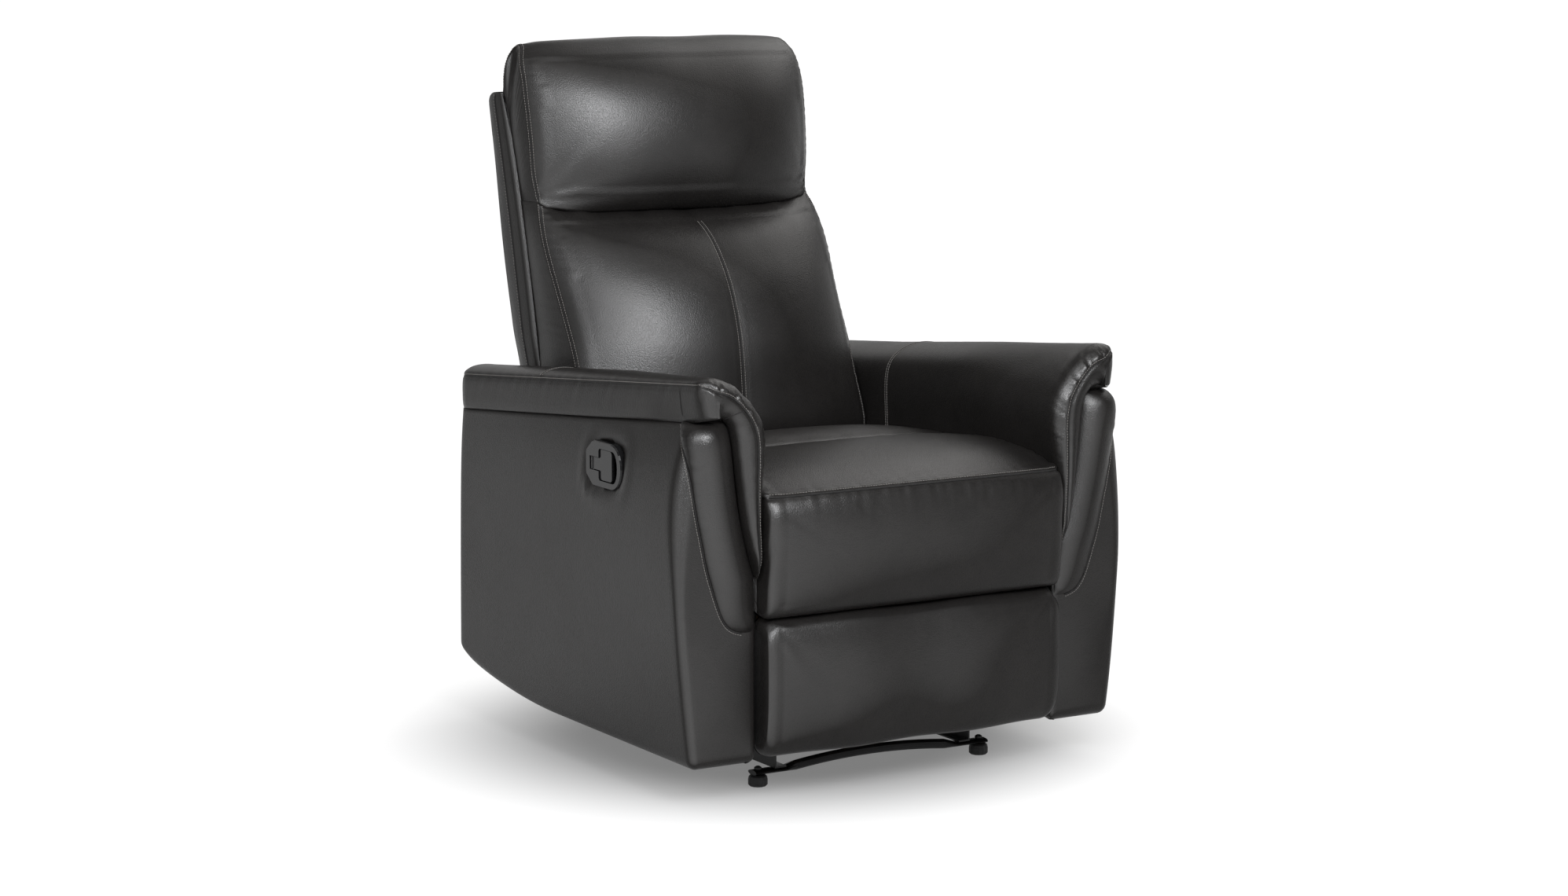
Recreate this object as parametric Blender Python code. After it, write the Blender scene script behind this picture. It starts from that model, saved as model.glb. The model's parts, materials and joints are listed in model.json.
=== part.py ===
"""A lever-operated recliner chair in dark leather.

A black steel base carries a tilting chassis: two mechanism plates, a hardwood seat box with
sinuous springs, the seat cushion and both arms. The back turns on the plates' rear ears, and a
six-bar linkage on each side swings the footrest out from under the seat. The chair faces -Y,
the floor is at zero height, and all sizes are in metres.
"""
import bpy
import bmesh
from math import atan2, cos, hypot, pi, radians, sin, sqrt
from mathutils import Vector
from mathutils.geometry import tessellate_polygon

# Clearances
GAP = 0.0003            # between pieces that touch
PIN_PLAY = 0.0005       # round a rivet in its hole
OPEN_PLAY = 0.0015      # round the rivet at the linkage's opened pivot
PLANE_GAP = 0.001       # between neighbouring link planes

# The well between the arms, and the arms
WELL_HALF = 0.2665      # from the middle to an arm's inner face
ARM_WIDTH = 0.111
ARM_REAR = 0.376
ARM_FRONT = -0.405
ARM_LOW = 0.064
ARM_TAIL_RISE = 0.059   # how far the underside climbs towards the rear
ARM_TAIL_START = 0.03
ARM_REAR_LEAN = 0.018
ARM_SEAM = 0.546        # height of the pad's seam where y is zero
ARM_SLOPE_SHARE = 0.092
ARM_CROWN = 0.026
ARM_FRONT_RADIUS = 0.028
ARM_REAR_RADIUS = 0.020
ARM_EDGE_RADIUS = 0.012
PAD_LEG = 0.0200        # thickness of the pad where it lies down the arm's inner face
PAD_LEG_LOW = 0.345
PAD_HEIGHT = 0.069
PAD_OVERHANG = 0.004
PAD_DRAPE = 0.028       # thickness of the pad's front fall
PAD_END_RADIUS = 0.028
PANEL_PAD = 0.015       # fullness of the front crescent
PANEL_LIP = 0.0012
PANEL_STAND = 0.0019     # how far the crescent stands off the corner it is bent round
PANEL_GROOVE = 0.0015

# Seat
SEAT_PLAY = 0.0075
SEAT_FRONT = -0.452
SEAT_REAR = 0.066
SEAT_BORDER_LOW = 0.288
SEAT_TOP = 0.505
BOX_FRONT = -0.4022
BOX_REAR = 0.120
BOX_LOW = 0.290
BOX_TOP = 0.345
BOX_RAIL = 0.025
CLEAT_HEIGHT = 0.045
CLEAT_FRONT_SET = 0.0322
CLEAT_REAR_SET = 0.020
SPRING_WIRE = 0.0018
SPRING_ARCH = 0.0230
SPRING_WAVE = 0.022
SPRING_PITCH_SHARE = 0.338
SPRING_PITCH = WELL_HALF * SPRING_PITCH_SHARE
SPRING_COUNT = 4
SPRING_WAVES = 6
SPRING_END_SET = 0.010

# Back, whose rear plane leans by a fixed slope
BACK_PLAY = 0.0045
BACK_PLANE = 0.299      # the cushions' rear plane at the height below
BACK_PLANE_HEIGHT = 0.600
LEAN_SHARE = 0.211
SHELL_LOW = 0.215
SHELL_TOP = 1.018
SHELL_THICK = 0.0780
SHELL_CROWN = 0.007
SHELL_SIDE = 0.0022     # swelling of its sides
SHELL_WALL = 0.014
SHELL_CORNER = 0.014
REAR_SET = 0.027        # how far the cushions' rear bends back at the outside back's top
REAR_START = 0.600      # height at which it starts to bend
REAR_STEP = 0.050
POCKET_DEPTH = 0.0263
POCKET_END = 0.030
POST_WIDTH = 0.028
POST_THICK = 0.0250
POST_LOW = 0.250
POST_TOP = 0.975
CROSS_RAIL_HEIGHT = 0.060
LOWER_RAIL_LOW = 0.470

# Linkage, in the plane across each side of the chair; y and z of the pivots at rest
DRIVE_Y = -0.285                 # drive link on the mechanism plate
DRIVE_Z = 0.264
LINK_LENGTH = 0.2207
LINK_START = radians(-47.5)
CONTROL_SET = 0.050              # from A to D, and from B to E
CONTROL_ANGLE = radians(167.5)
BRACKET_Y = -0.353               # main link on the footrest bracket, at C
BRACKET_Z = 0.260
DRIVE_CRANK = 0.0308             # from B to F on the drive link
DRIVE_CRANK_ANGLE = radians(81.3747)
BRACKET_CRANK = 0.0440           # from C to G on the bracket
BRACKET_CRANK_ANGLE = radians(20.6964)
PLATE = 0.0030
LINK_HALF = 0.0095
PIN = 0.0040
TORQUE_RADIUS = 0.0100
TORQUE_BOSS = 0.0180
MECHANISM_ROOM = 0.057           # from the mechanism plate's inner face to the arm
PLANE_START = WELL_HALF - MECHANISM_ROOM
TILT_Y = 0.100
TILT_Z = 0.120
BACK_PIVOT_Y = 0.160
BACK_PIVOT_Z = 0.400
EAR = 0.016
PIVOT_PIN = 0.006
PLATE_FRONT = -0.365
PLATE_REAR = 0.112
PLATE_LOW = 0.245
PLATE_TOP = 0.335
PLATE_LEG = 0.034
PLATE_CORNER = 0.012
BRACKET_RISE = 0.200

# Footrest
BOARD_SET = 0.0165      # from the arm to the board's end
BOARD_HALF = WELL_HALF - BOARD_SET
BOARD_REAR = -0.3777
BOARD_THICK = 0.012
BOARD_LOW = 0.085
BOARD_TOP = 0.2815
FOOTREST_PLAY = 0.0045
FOOTREST_LOW = 0.071
FOOTREST_TOP = 0.285
FOOTREST_FULL = 0.060
BRACKET_LOW = 0.110

# Base
FOOT_SET = 0.0075       # from the mechanism plate in to the feet's centres
FOOT_HALF = PLANE_START - FOOT_SET
FOOT_RADIUS = 0.0150
FOOT_TOP_RADIUS = 0.0140
FOOT_HEIGHT = 0.0172
FOOT_CHAMFER = 0.0022
FOOT_FRONT = -0.301
FOOT_REAR = 0.250
STUD_RADIUS = 0.0030
NUT_RADIUS = 0.0058
NUT_HEIGHT = 0.0048
TUBE_RADIUS = 0.0078
TUBE_OVER = 0.010       # how far the tubes run on beyond the feet's centres
TUBE_END = FOOT_HALF + TUBE_OVER
TUBE_FLAT = 0.0040      # half the thickness of the pressed ends
TUBE_FLAT_WIDTH = 0.0125
TUBE_FLAT_LENGTH = 0.056
TUBE_BLEND = 0.020
TUBE_ARCH = 0.011
RAIL_HEIGHT = 0.025
RAIL_WIDTH = 0.020
RAIL_WALL = 0.0025
RAIL_SET = 0.0315       # from the mechanism plate in to the rails' outer faces
RAIL_FACE = PLANE_START - RAIL_SET
RAIL_OVER = 0.011
BASE_PLATE_FRONT = -0.020
BASE_PLATE_REAR = 0.200
UPRIGHT_FRONT = -0.215
UPRIGHT_DEPTH = 0.025

# Release lever on the left arm
LEVER_BACK = 0.243        # from the arm's front
LEVER_DROP = 0.0565       # below the height of the pad's seam
LEVER_Y = ARM_FRONT + LEVER_BACK
LEVER_Z = ARM_SEAM - LEVER_DROP
BEZEL_LENGTH = 0.112
BEZEL_HEIGHT = 0.070
BEZEL_STAND = 0.013       # beyond the arm's flat width
BEZEL_FACE = WELL_HALF + ARM_WIDTH + BEZEL_STAND
BEZEL_RIM = 0.0105
BEZEL_CUP = 0.032
BEZEL_WALL = 0.0025
BEZEL_NOSE = 0.032        # depth of the round front
BEZEL_CHAMFER = 0.016
TAB_REAR = 0.0425         # rear end of the tab, from the bezel's middle
TAB_FRONT = 0.0145
TAB_HALF = 0.0105
HEAD_FRONT = -0.024
HEAD_HALF = 0.0245
CAVITY_FRONT = -0.0440
CAVITY_NOSE = 0.014
HEAD_CORNER = 0.005
PADDLE_PLAY = 0.0012
PADDLE_THICK = 0.0050
PADDLE_SET = 0.002
KNUCKLE = 0.0042
LEVER_PIN = 0.0018
CABLE_RADIUS = 0.0025
CABLE_Y = 0.030
CABLE_Z = 0.275
CABLE_DROP = 0.055
CABLE_RUN = 0.045
CABLE_LEAD_SHARE = 0.15

ROUND = 12
TUBE_SIDES = 16
SIDES = {"left": -1, "right": 1}


def material(name, colour, roughness, metallic=0.0):
    made = bpy.data.materials.new(name)
    made.use_nodes = True
    shader = made.node_tree.nodes["Principled BSDF"]
    shader.inputs["Base Color"].default_value = (*colour, 1.0)
    shader.inputs["Roughness"].default_value = roughness
    shader.inputs["Metallic"].default_value = metallic
    made.diffuse_color = (*colour, 1.0)
    return made


def leather(name):
    return material(name, (0.045, 0.040, 0.038), 0.42)


def black_steel(name):
    return material(name, (0.020, 0.020, 0.021), 0.38, 0.6)


def hardwood(name):
    return material(name, (0.42, 0.27, 0.14), 0.6)


def black_plastic(name):
    return material(name, (0.012, 0.012, 0.013), 0.22)


def finish(name, mesh_builder, made, pivot=(0, 0, 0)):
    """Turn a bmesh into an object whose origin lies on the given pivot."""
    bmesh.ops.recalc_face_normals(mesh_builder, faces=mesh_builder.faces)
    bmesh.ops.translate(mesh_builder, vec=-Vector(pivot), verts=mesh_builder.verts)
    mesh = bpy.data.meshes.new(name)
    mesh_builder.to_mesh(mesh)
    mesh_builder.free()
    mesh.materials.append(made)
    piece = bpy.data.objects.new(name, mesh)
    piece.location = pivot
    bpy.context.scene.collection.objects.link(piece)
    mesh.shade_smooth()
    mesh.set_sharp_from_angle(angle=radians(40))
    return piece


def loft(name, sections, made, pivot=(0, 0, 0)):
    """Skin closed sections that all have the same number of points, and cap both ends."""
    builder = bmesh.new()
    rings = [[builder.verts.new(point) for point in section] for section in sections]
    count = len(rings[0])
    for before, after in zip(rings, rings[1:]):
        for i in range(count):
            j = (i + 1) % count
            builder.faces.new((before[i], before[j], after[j], after[i]))
    builder.faces.new(rings[0])
    builder.faces.new(list(reversed(rings[-1])))
    return finish(name, builder, made, pivot)


def block(name, low, high, made, pivot=(0, 0, 0)):
    """A plain rectangular piece between two corners."""
    (x0, y0, z0), (x1, y1, z1) = low, high
    ring = [(x0, z0), (x1, z0), (x1, z1), (x0, z1)]
    return loft(name, [[(x, y, z) for x, z in ring] for y in (y0, y1)], made, pivot)


def side_block(name, side, near, far, low, high, made):
    """A block between two distances from the middle plane, on the given side."""
    xs = sorted((side * near, side * far))
    return block(name, (xs[0], low[0], low[1]), (xs[1], high[0], high[1]), made)


def circle(centre, radius, count=ROUND):
    return [
        (centre[0] + radius * cos(2 * pi * i / count), centre[1] + radius * sin(2 * pi * i / count))
        for i in range(count)
    ]


def hull(discs):
    """Convex outline round a list of (centre, radius) discs, anticlockwise."""
    points = sorted({p for centre, radius in discs for p in circle(centre, radius, TUBE_SIDES)})

    def chain(ordered):
        kept = []
        for p in ordered:
            while len(kept) > 1 and turn(kept[-2], kept[-1], p) <= 0:
                kept.pop()
            kept.append(p)
        return kept[:-1]

    return chain(points) + chain(points[::-1])


def turn(a, b, c):
    return (b[0] - a[0]) * (c[1] - a[1]) - (b[1] - a[1]) * (c[0] - a[0])


def fillet(points, radii, steps=4):
    """Round each corner of a closed outline with an arc that touches both edges."""
    outline = []
    for i, corner in enumerate(points):
        radius = radii[i]
        if radius == 0:
            outline.append(corner)
            continue
        here = Vector(corner)
        before = (Vector(points[i - 1]) - here).normalized()
        after = (Vector(points[(i + 1) % len(points)]) - here).normalized()
        half = before.angle(after) / 2
        centre = here + (before + after).normalized() * radius / sin(half)
        start = here + before * (radius * cos(half) / sin(half))
        end = here + after * (radius * cos(half) / sin(half))
        a0 = atan2(*(start - centre).yx)
        a1 = atan2(*(end - centre).yx)
        sweep = (a1 - a0 + pi) % (2 * pi) - pi
        for k in range(steps + 1):
            a = a0 + sweep * k / steps
            outline.append((centre.x + radius * cos(a), centre.y + radius * sin(a)))
    return outline


def plate(name, side, near, far, outline, made, holes=(), bosses=(), pivot=(0, 0, 0)):
    """A flat plate across the chair's side plane, with round holes and round rivets.

    near and far are its faces' distances from the middle plane. A boss runs from the face
    nearest to its end distance, and closes with a flat end.
    """
    builder = bmesh.new()
    cuts = {near: [outline], far: [outline]}
    rounds = [circle(centre, radius / cos(pi / ROUND)) for centre, radius in holes]
    for ring in rounds:
        cuts[near].append(ring)
        cuts[far].append(ring)
    studs = []
    for centre, radius, end in bosses:
        ring = circle(centre, radius)
        face = far if end > far else near
        cuts[face].append(ring)
        studs.append((ring, face, end))
    made_rings = {}

    def ring_verts(ring, distance):
        key = (id(ring), distance)
        if key not in made_rings:
            made_rings[key] = [builder.verts.new((side * distance, y, z)) for y, z in ring]
        return made_rings[key]

    for distance, rings in cuts.items():
        verts = [v for ring in rings for v in ring_verts(ring, distance)]
        flat = [[Vector((y, z, 0)) for y, z in ring] for ring in rings]
        for a, b, c in tessellate_polygon(flat):
            builder.faces.new((verts[a], verts[b], verts[c]))
    walls = [(ring, near, far) for ring in [outline] + rounds] + studs
    for ring, first, last in walls:
        one = ring_verts(ring, first)
        two = ring_verts(ring, last)
        for i in range(len(ring)):
            j = (i + 1) % len(ring)
            builder.faces.new((one[i], one[j], two[j], two[i]))
    for ring, _, end in studs:
        builder.faces.new(ring_verts(ring, end))
    return finish(name, builder, made, pivot)


def rod(name, axis, centre, radius, low, high, made, count=TUBE_SIDES, pivot=(0, 0, 0)):
    """A straight round bar along X or Z, whose centre is given in the other two axes."""
    ring = circle(centre, radius, count)
    if axis == "x":
        sections = [[(end, u, v) for u, v in ring] for end in (low, high)]
    else:
        sections = [[(u, v, end) for u, v in ring] for end in (low, high)]
    return loft(name, sections, made, pivot)


def mix(a, b, share):
    return a + (b - a) * share


def ease(share):
    share = min(max(share, 0), 1)
    return share * share * (3 - 2 * share)


def read_table(rows, share):
    """Straight-line reading of a table of (place, value) shares."""
    for (s0, v0), (s1, v1) in zip(rows, rows[1:]):
        if share <= s1:
            return mix(v0, v1, (share - s0) / (s1 - s0))
    return rows[-1][1]


def polar(origin, radius, angle):
    return (origin[0] + radius * cos(angle), origin[1] + radius * sin(angle))


# Planes of the linkage, counted outwards from the mechanism plate
def plane(number):
    near = PLANE_START + number * (PLATE + PLANE_GAP)
    return near, near + PLATE


PIVOT_A = (DRIVE_Y, DRIVE_Z)
PIVOT_C = (BRACKET_Y, BRACKET_Z)
TILT_PIVOT = (TILT_Y, TILT_Z)
BACK_PIVOT = (BACK_PIVOT_Y, BACK_PIVOT_Z)
PIVOT_B = polar(PIVOT_A, LINK_LENGTH, LINK_START)
PIVOT_D = polar(PIVOT_A, CONTROL_SET, CONTROL_ANGLE)
PIVOT_E = polar(PIVOT_B, CONTROL_SET, CONTROL_ANGLE)
PIVOT_F = polar(PIVOT_B, DRIVE_CRANK, LINK_START + DRIVE_CRANK_ANGLE)
PIVOT_G = polar(PIVOT_C, BRACKET_CRANK, BRACKET_CRANK_ANGLE)

# Shares of the arm's fullness, from the underside to the pad's seam
ARM_CROWN_SHARES = ((0, 0), (0.1, 0.25), (0.2, 0.46), (0.38, 0.76), (0.56, 0.96), (0.65, 1), (0.79, 0.86),
                    (0.89, 0.46), (0.94, 0.1), (1, -0.45))
# The pad's section as pairs: its outer skin and its lining. Across, a share of the arm's width
# for the skin, and for the lining a share of the width beyond the pad's inner leg.
# Up, a share of the pad's height above the seam, or of the leg's length below it.
PAD_SHARES = (
    (0, -1, 0, -1),
    (0, -0.75, 0, -0.75),
    (0, -0.46, 0, -0.46),
    (-0.07, -0.18, 0, -0.15),
    (-0.08, 0.10, 0, 0),
    (0.08, 0.62, 0.14, 0),
    (0.36, 0.92, 0.31, 0),
    (0.66, 1, 0.60, 0),
    (0.90, 0.90, 0.81, 0),
    (1, 0.68, 0.965, 0),
)
PAD_FRONT_SHARES = (
    (0.05, -0.99, -0.193, -1),
    (0.01, -0.77, 0.03, -0.77),
    (-0.03, -0.47, 0.20, -0.47),
    (-0.10, -0.22, 0.32, -0.19),
    (-0.06, -0.03, 0.42, -0.06),
    (0.17, 0.38, 0.60, 0.01),
    (0.50, 0.75, 0.73, 0.03),
    (0.80, 0.93, 0.84, 0.05),
    (0.96, 0.86, 0.93, 0.07),
    (1.02, 0.62, 1, 0.10),
)
# The front crescent as pairs: its inner edge by the pad's groove, and its stitched outer edge.
# Across, a share of the arm's width along the front and round its corner. Up, a share from the
# crescent's foot to the pad's seam. Last, a share of its fullness.
PANEL_SHARES = (
    (0.02, 0.00, 0.12, 0.00, 0.1),
    (0.02, 0.10, 0.40, 0.03, 0.4),
    (0.02, 0.20, 0.56, 0.11, 0.7),
    (0.05, 0.265, 0.665, 0.212, 0.9),
    (0.16, 0.33, 0.76, 0.32, 1),
    (0.30, 0.45, 0.835, 0.44, 1),
    (0.38, 0.60, 0.93, 0.60, 1),
    (0.43, 0.76, 1.01, 0.77, 1),
    (0.485, 0.896, 1.08, 0.90, 0.85),
    (0.56, 0.955, 1.11, 0.955, 0.6),
    (0.66, 0.99, 1.12, 0.99, 0.25),
)
PANEL_FOOT = 0.262
PANEL_ARCH_SHARES = ((0, 0), (0.06, 0.5), (0.16, 0.85), (0.33, 1), (0.55, 0.8), (0.78, 0.35), (1, 0))


def seam_height(y):
    return ARM_SEAM - ARM_SLOPE_SHARE * y


def tail_rise(y):
    share = min(max((y - ARM_TAIL_START) / (ARM_REAR - ARM_TAIL_START), 0), 1)
    return ARM_TAIL_RISE * (0.7 * share**2 + 0.3 * share**16)


def arm_growth(y):
    """Share of the full crown at a place along the arm, which swells towards the front."""
    return mix(0.1, 1, ((ARM_REAR - y) / (ARM_REAR - ARM_FRONT)) ** 1.8)


def arm_face(y, level):
    """Distance of the arm's outer skin from the middle plane."""
    return WELL_HALF + ARM_WIDTH + ARM_CROWN * read_table(ARM_CROWN_SHARES, level) * arm_growth(y)


def end_set(distance, radius):
    """How far a rounded corner has drawn in, at a distance from the end."""
    if distance >= radius:
        return 0
    return radius - sqrt(radius**2 - (radius - distance) ** 2)


def stations(rear, front, rear_radius, front_radius, count):
    """Places from rear to front, close together in both rounded ends."""
    steps = (0, 0.15, 0.5, 1)
    places = [rear - rear_radius * s for s in steps]
    inner_rear = rear - rear_radius
    inner_front = front + front_radius
    places += [mix(inner_rear, inner_front, i / count) for i in range(1, count)]
    places += [front + front_radius * s for s in reversed(steps)]
    return places


def arm_body(hand, side):
    sections = []
    for y in stations(ARM_REAR, ARM_FRONT, ARM_REAR_RADIUS, ARM_FRONT_RADIUS, 9):
        draw = end_set(ARM_REAR - y, ARM_REAR_RADIUS) + end_set(y - ARM_FRONT, ARM_FRONT_RADIUS)
        low = ARM_LOW + tail_rise(y)
        lean = ARM_REAR_LEAN * ease((y - ARM_TAIL_START) / (ARM_REAR - ARM_TAIL_START))
        top = seam_height(y - lean)
        inner = WELL_HALF
        ledge = PAD_LEG_LOW - GAP
        set_back = WELL_HALF + PAD_LEG + GAP
        foot = arm_face(y, 0) - draw
        ring = [(inner, low), (inner, ledge), (set_back, ledge), (set_back, top)]
        for level, _ in reversed(ARM_CROWN_SHARES[1:]):
            ring.append((arm_face(y, level) - draw, mix(low, top, level)))
        ring.append((foot, low + ARM_EDGE_RADIUS))
        ring.append((foot - ARM_EDGE_RADIUS, low))
        section = [(side * x, y - lean * (z - low) / (top - low), z) for x, z in ring]
        sections.append(section)
    return loft(f"arm_body_{hand}", sections, leather(f"arm_leather_{hand}"))


def pad_ring(y, rows, bulge_share, inset=0.0, draw=0.0):
    """One section of an arm pad.

    Inset rounds the skin and the lining towards each other, and draw takes in the outer end.
    """
    seam = seam_height(y) + GAP
    width = arm_face(y, 1) + PAD_OVERHANG - WELL_HALF
    taken = (width - draw) / width

    def point(across, up, start):
        if start == 0 and across < 0:
            across *= bulge_share
        height = PAD_HEIGHT if up > 0 else seam - PAD_LEG_LOW
        reach = start + across * (width - start)
        return Vector((WELL_HALF + (reach * taken if reach > 0 else reach), seam + up * height))

    skin = [point(a, u, 0) for a, u, _, _ in rows]
    lining = [point(a, u, PAD_LEG) for _, _, a, u in rows]
    rounded_skin, rounded_lining = [], []
    for outside, inside in zip(skin, lining):
        way = inside - outside
        step = way.normalized() * min(inset, way.length * 0.42)
        rounded_skin.append(outside + step)
        rounded_lining.append(inside - step * 0.7)
    return rounded_skin + rounded_lining[::-1]


def pad_rows(share):
    """The pad's rows, with their skin turned by a share towards the front fall's."""
    rows = []
    for (a0, u0, lining_a, lining_u), (a1, u1, _, _) in zip(PAD_SHARES, PAD_FRONT_SHARES):
        rows.append((mix(a0, a1, share), mix(u0, u1, share), lining_a, lining_u))
    return rows


def arm_pad(hand, side):
    rear = ARM_REAR - ARM_REAR_LEAN
    sections = []

    def station(y, place, rows, bulge, inset, draw=0.0):
        sections.append([(side * p.x, y, p.y) for p in pad_ring(place, rows, bulge, inset, draw)])

    for share in (0, 0.15, 0.5, 1):
        y = rear - PAD_END_RADIUS * share
        station(y, y, PAD_SHARES, 0, end_set(rear - y, PAD_END_RADIUS) * 0.5)
    start = rear - PAD_END_RADIUS
    wall = ARM_FRONT - GAP
    for share in (0.14, 0.28, 0.42, 0.56, 0.7, 0.82, 0.92, 1):
        y = mix(start, wall, share)
        station(y, y, pad_rows(ease((share - 0.6) / 0.4)), ease((share - 0.1) / 0.9), 0)
    for depth in (0, 0.3, 0.55, 0.75, 0.9, 1):
        drawn = end_set(PAD_DRAPE * (1 - depth), PAD_DRAPE)
        station(wall - PAD_DRAPE * depth, wall, PAD_FRONT_SHARES, 1, drawn, drawn * 0.7)
    return loft(f"arm_pad_{hand}", sections, leather(f"pad_leather_{hand}"))


def arm_wrap(reach, z):
    """A place on the arm's front and the way out of it.

    Reach is measured from the well along the front face, round the corner and on along the side.
    """
    top = seam_height(ARM_FRONT)
    face = arm_face(ARM_FRONT, (z - ARM_LOW) / (top - ARM_LOW))
    corner = face - ARM_FRONT_RADIUS
    beyond = reach - (corner - WELL_HALF)
    centre = ARM_FRONT + ARM_FRONT_RADIUS
    if beyond <= 0:
        return Vector((WELL_HALF + reach, ARM_FRONT, z)), Vector((0, -1, 0))
    bend = beyond / ARM_FRONT_RADIUS
    if bend > pi / 2:
        return Vector((face, centre + beyond - ARM_FRONT_RADIUS * pi / 2, z)), Vector((1, 0, 0))
    way = Vector((sin(bend), -cos(bend), 0))
    return Vector((corner, centre, z)) + way * ARM_FRONT_RADIUS, way


def arm_panel(hand, side):
    """The padded crescent that wraps the arm's front, from its foot up to the pad's seam."""
    seam = seam_height(ARM_FRONT)
    sections = []
    for inner, inner_up, outer, outer_up, fullness in PANEL_SHARES:
        front, back = [], []
        for across, arch in PANEL_ARCH_SHARES:
            reach = mix(inner * ARM_WIDTH + PANEL_GROOVE, outer * ARM_WIDTH, across)
            z = mix(PANEL_FOOT, seam, mix(inner_up, outer_up, across))
            spot, way = arm_wrap(reach, z)
            wrapped = min(max(-way.x, way.x) * 2, 1)
            back_spot = spot + way * (GAP + PANEL_STAND * wrapped)
            front_spot = back_spot + way * (PANEL_LIP + PANEL_PAD * fullness * arch)
            front.append((side * front_spot.x, front_spot.y, front_spot.z))
            back.append((side * back_spot.x, back_spot.y, back_spot.z))
        sections.append(front + back[::-1])
    return loft(f"arm_panel_{hand}", sections, leather(f"panel_leather_{hand}"))


# Seat outline as shares of its depth and of the height from the border's foot to the crown.
# Each row gives the outline at the sides and then at the middle.
SEAT_SHARES = (
    (0.0956, 0.00, 0.0956, 0.00),
    (0.046, 0.00, 0.033, 0.00),
    (0.027, 0.24, -0.006, 0.24),
    (0.023, 0.50, -0.017, 0.50),
    (0.027, 0.74, -0.012, 0.74),
    (0.048, 0.825, 0.008, 0.84),
    (0.166, 0.900, 0.130, 0.955),
    (0.274, 0.925, 0.260, 1.00),
    (0.380, 0.935, 0.385, 1.015),
    (0.500, 0.915, 0.505, 0.995),
    (0.555, 0.895, 0.556, 0.955),
    (0.583, 0.866, 0.583, 0.910),
    (0.611, 0.882, 0.610, 0.950),
    (0.714, 0.876, 0.718, 0.985),
    (0.890, 0.820, 0.870, 0.945),
    (0.978, 0.740, 0.968, 0.830),
    (1, 0.560, 1, 0.560),
)
ACROSS_SHARES = (-1, -0.965, -0.89, -0.76, -0.56, -0.3, 0, 0.3, 0.56, 0.76, 0.89, 0.965, 1)


def fullness_share(across, power=3.0, root=0.7):
    """Share of a cushion's crown at a share of its half width."""
    return (1 - abs(across) ** power) ** root


def platform_height():
    return BOX_TOP + GAP + 2 * SPRING_WIRE + SPRING_ARCH + GAP


def seat_cushion():
    half = WELL_HALF - SEAT_PLAY
    sections = []
    for across in ACROSS_SHARES:
        full = fullness_share(across)
        ring = []
        for side_y, side_z, mid_y, mid_z in SEAT_SHARES:
            y = mix(SEAT_FRONT, SEAT_REAR, mix(side_y, mid_y, full))
            z = mix(SEAT_BORDER_LOW, SEAT_TOP, mix(side_z, mid_z, full))
            ring.append((across * half, y, z))
        ring.append((across * half, SEAT_REAR, platform_height()))
        ring.append((across * half, BOX_FRONT - GAP, platform_height()))
        ring[0] = (across * half, BOX_FRONT - GAP, SEAT_BORDER_LOW)
        sections.append(ring)
    return loft("seat_cushion", sections, leather("seat_leather"))


def seat_box():
    wood_face = PLANE_START - GAP
    inner = wood_face - BOX_RAIL
    block("seat_rail_front", (-wood_face, BOX_FRONT, BOX_LOW), (wood_face, BOX_FRONT + BOX_RAIL, BOX_TOP),
          hardwood("front_rail_wood"))
    block("seat_rail_rear", (-wood_face, BOX_REAR - BOX_RAIL, BOX_LOW), (wood_face, BOX_REAR, BOX_TOP),
          hardwood("rear_rail_wood"))
    cleat_near = PLANE_START + PLATE + GAP
    for hand, side in SIDES.items():
        side_block(f"seat_rail_{hand}", side, inner, wood_face,
                   (BOX_FRONT + BOX_RAIL + GAP, BOX_LOW), (BOX_REAR - BOX_RAIL - GAP, BOX_TOP),
                   hardwood(f"side_rail_wood_{hand}"))
        side_block(f"arm_cleat_{hand}", side, cleat_near, WELL_HALF - GAP,
                   (BOX_FRONT + CLEAT_FRONT_SET, BOX_LOW), (BOX_REAR - CLEAT_REAR_SET, BOX_LOW + CLEAT_HEIGHT),
                   hardwood(f"cleat_wood_{hand}"))


def wire(name, points, radius, made, resolution=0):
    """A round wire through the points, with closed ends."""
    curve = bpy.data.curves.new(name, "CURVE")
    curve.dimensions = "3D"
    curve.bevel_depth = radius
    curve.bevel_resolution = resolution
    curve.render_resolution_u = 0
    curve.use_fill_caps = True
    spline = curve.splines.new("POLY")
    spline.points.add(len(points) - 1)
    for spot, point in zip(spline.points, points):
        spot.co = (*point, 1)
    curve.materials.append(made)
    piece = bpy.data.objects.new(name, curve)
    bpy.context.scene.collection.objects.link(piece)
    return piece


def seat_springs():
    """Sinuous wires that arch from the front rail to the rear rail."""
    start = BOX_FRONT + SPRING_END_SET
    end = BOX_REAR - SPRING_END_SET
    low = BOX_TOP + GAP + SPRING_WIRE
    steps = SPRING_WAVES * 8
    for number in range(SPRING_COUNT):
        middle = (number - (SPRING_COUNT - 1) / 2) * SPRING_PITCH
        points = []
        for i in range(steps + 1):
            share = i / steps
            wave = sin(2 * pi * SPRING_WAVES * share)
            points.append((
                middle + SPRING_WAVE * wave,
                mix(start, end, share),
                low + SPRING_ARCH * sin(pi * share),
            ))
        wire(f"seat_spring_{number + 1}", points, SPRING_WIRE, black_steel(f"spring_wire_{number + 1}"))


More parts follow.
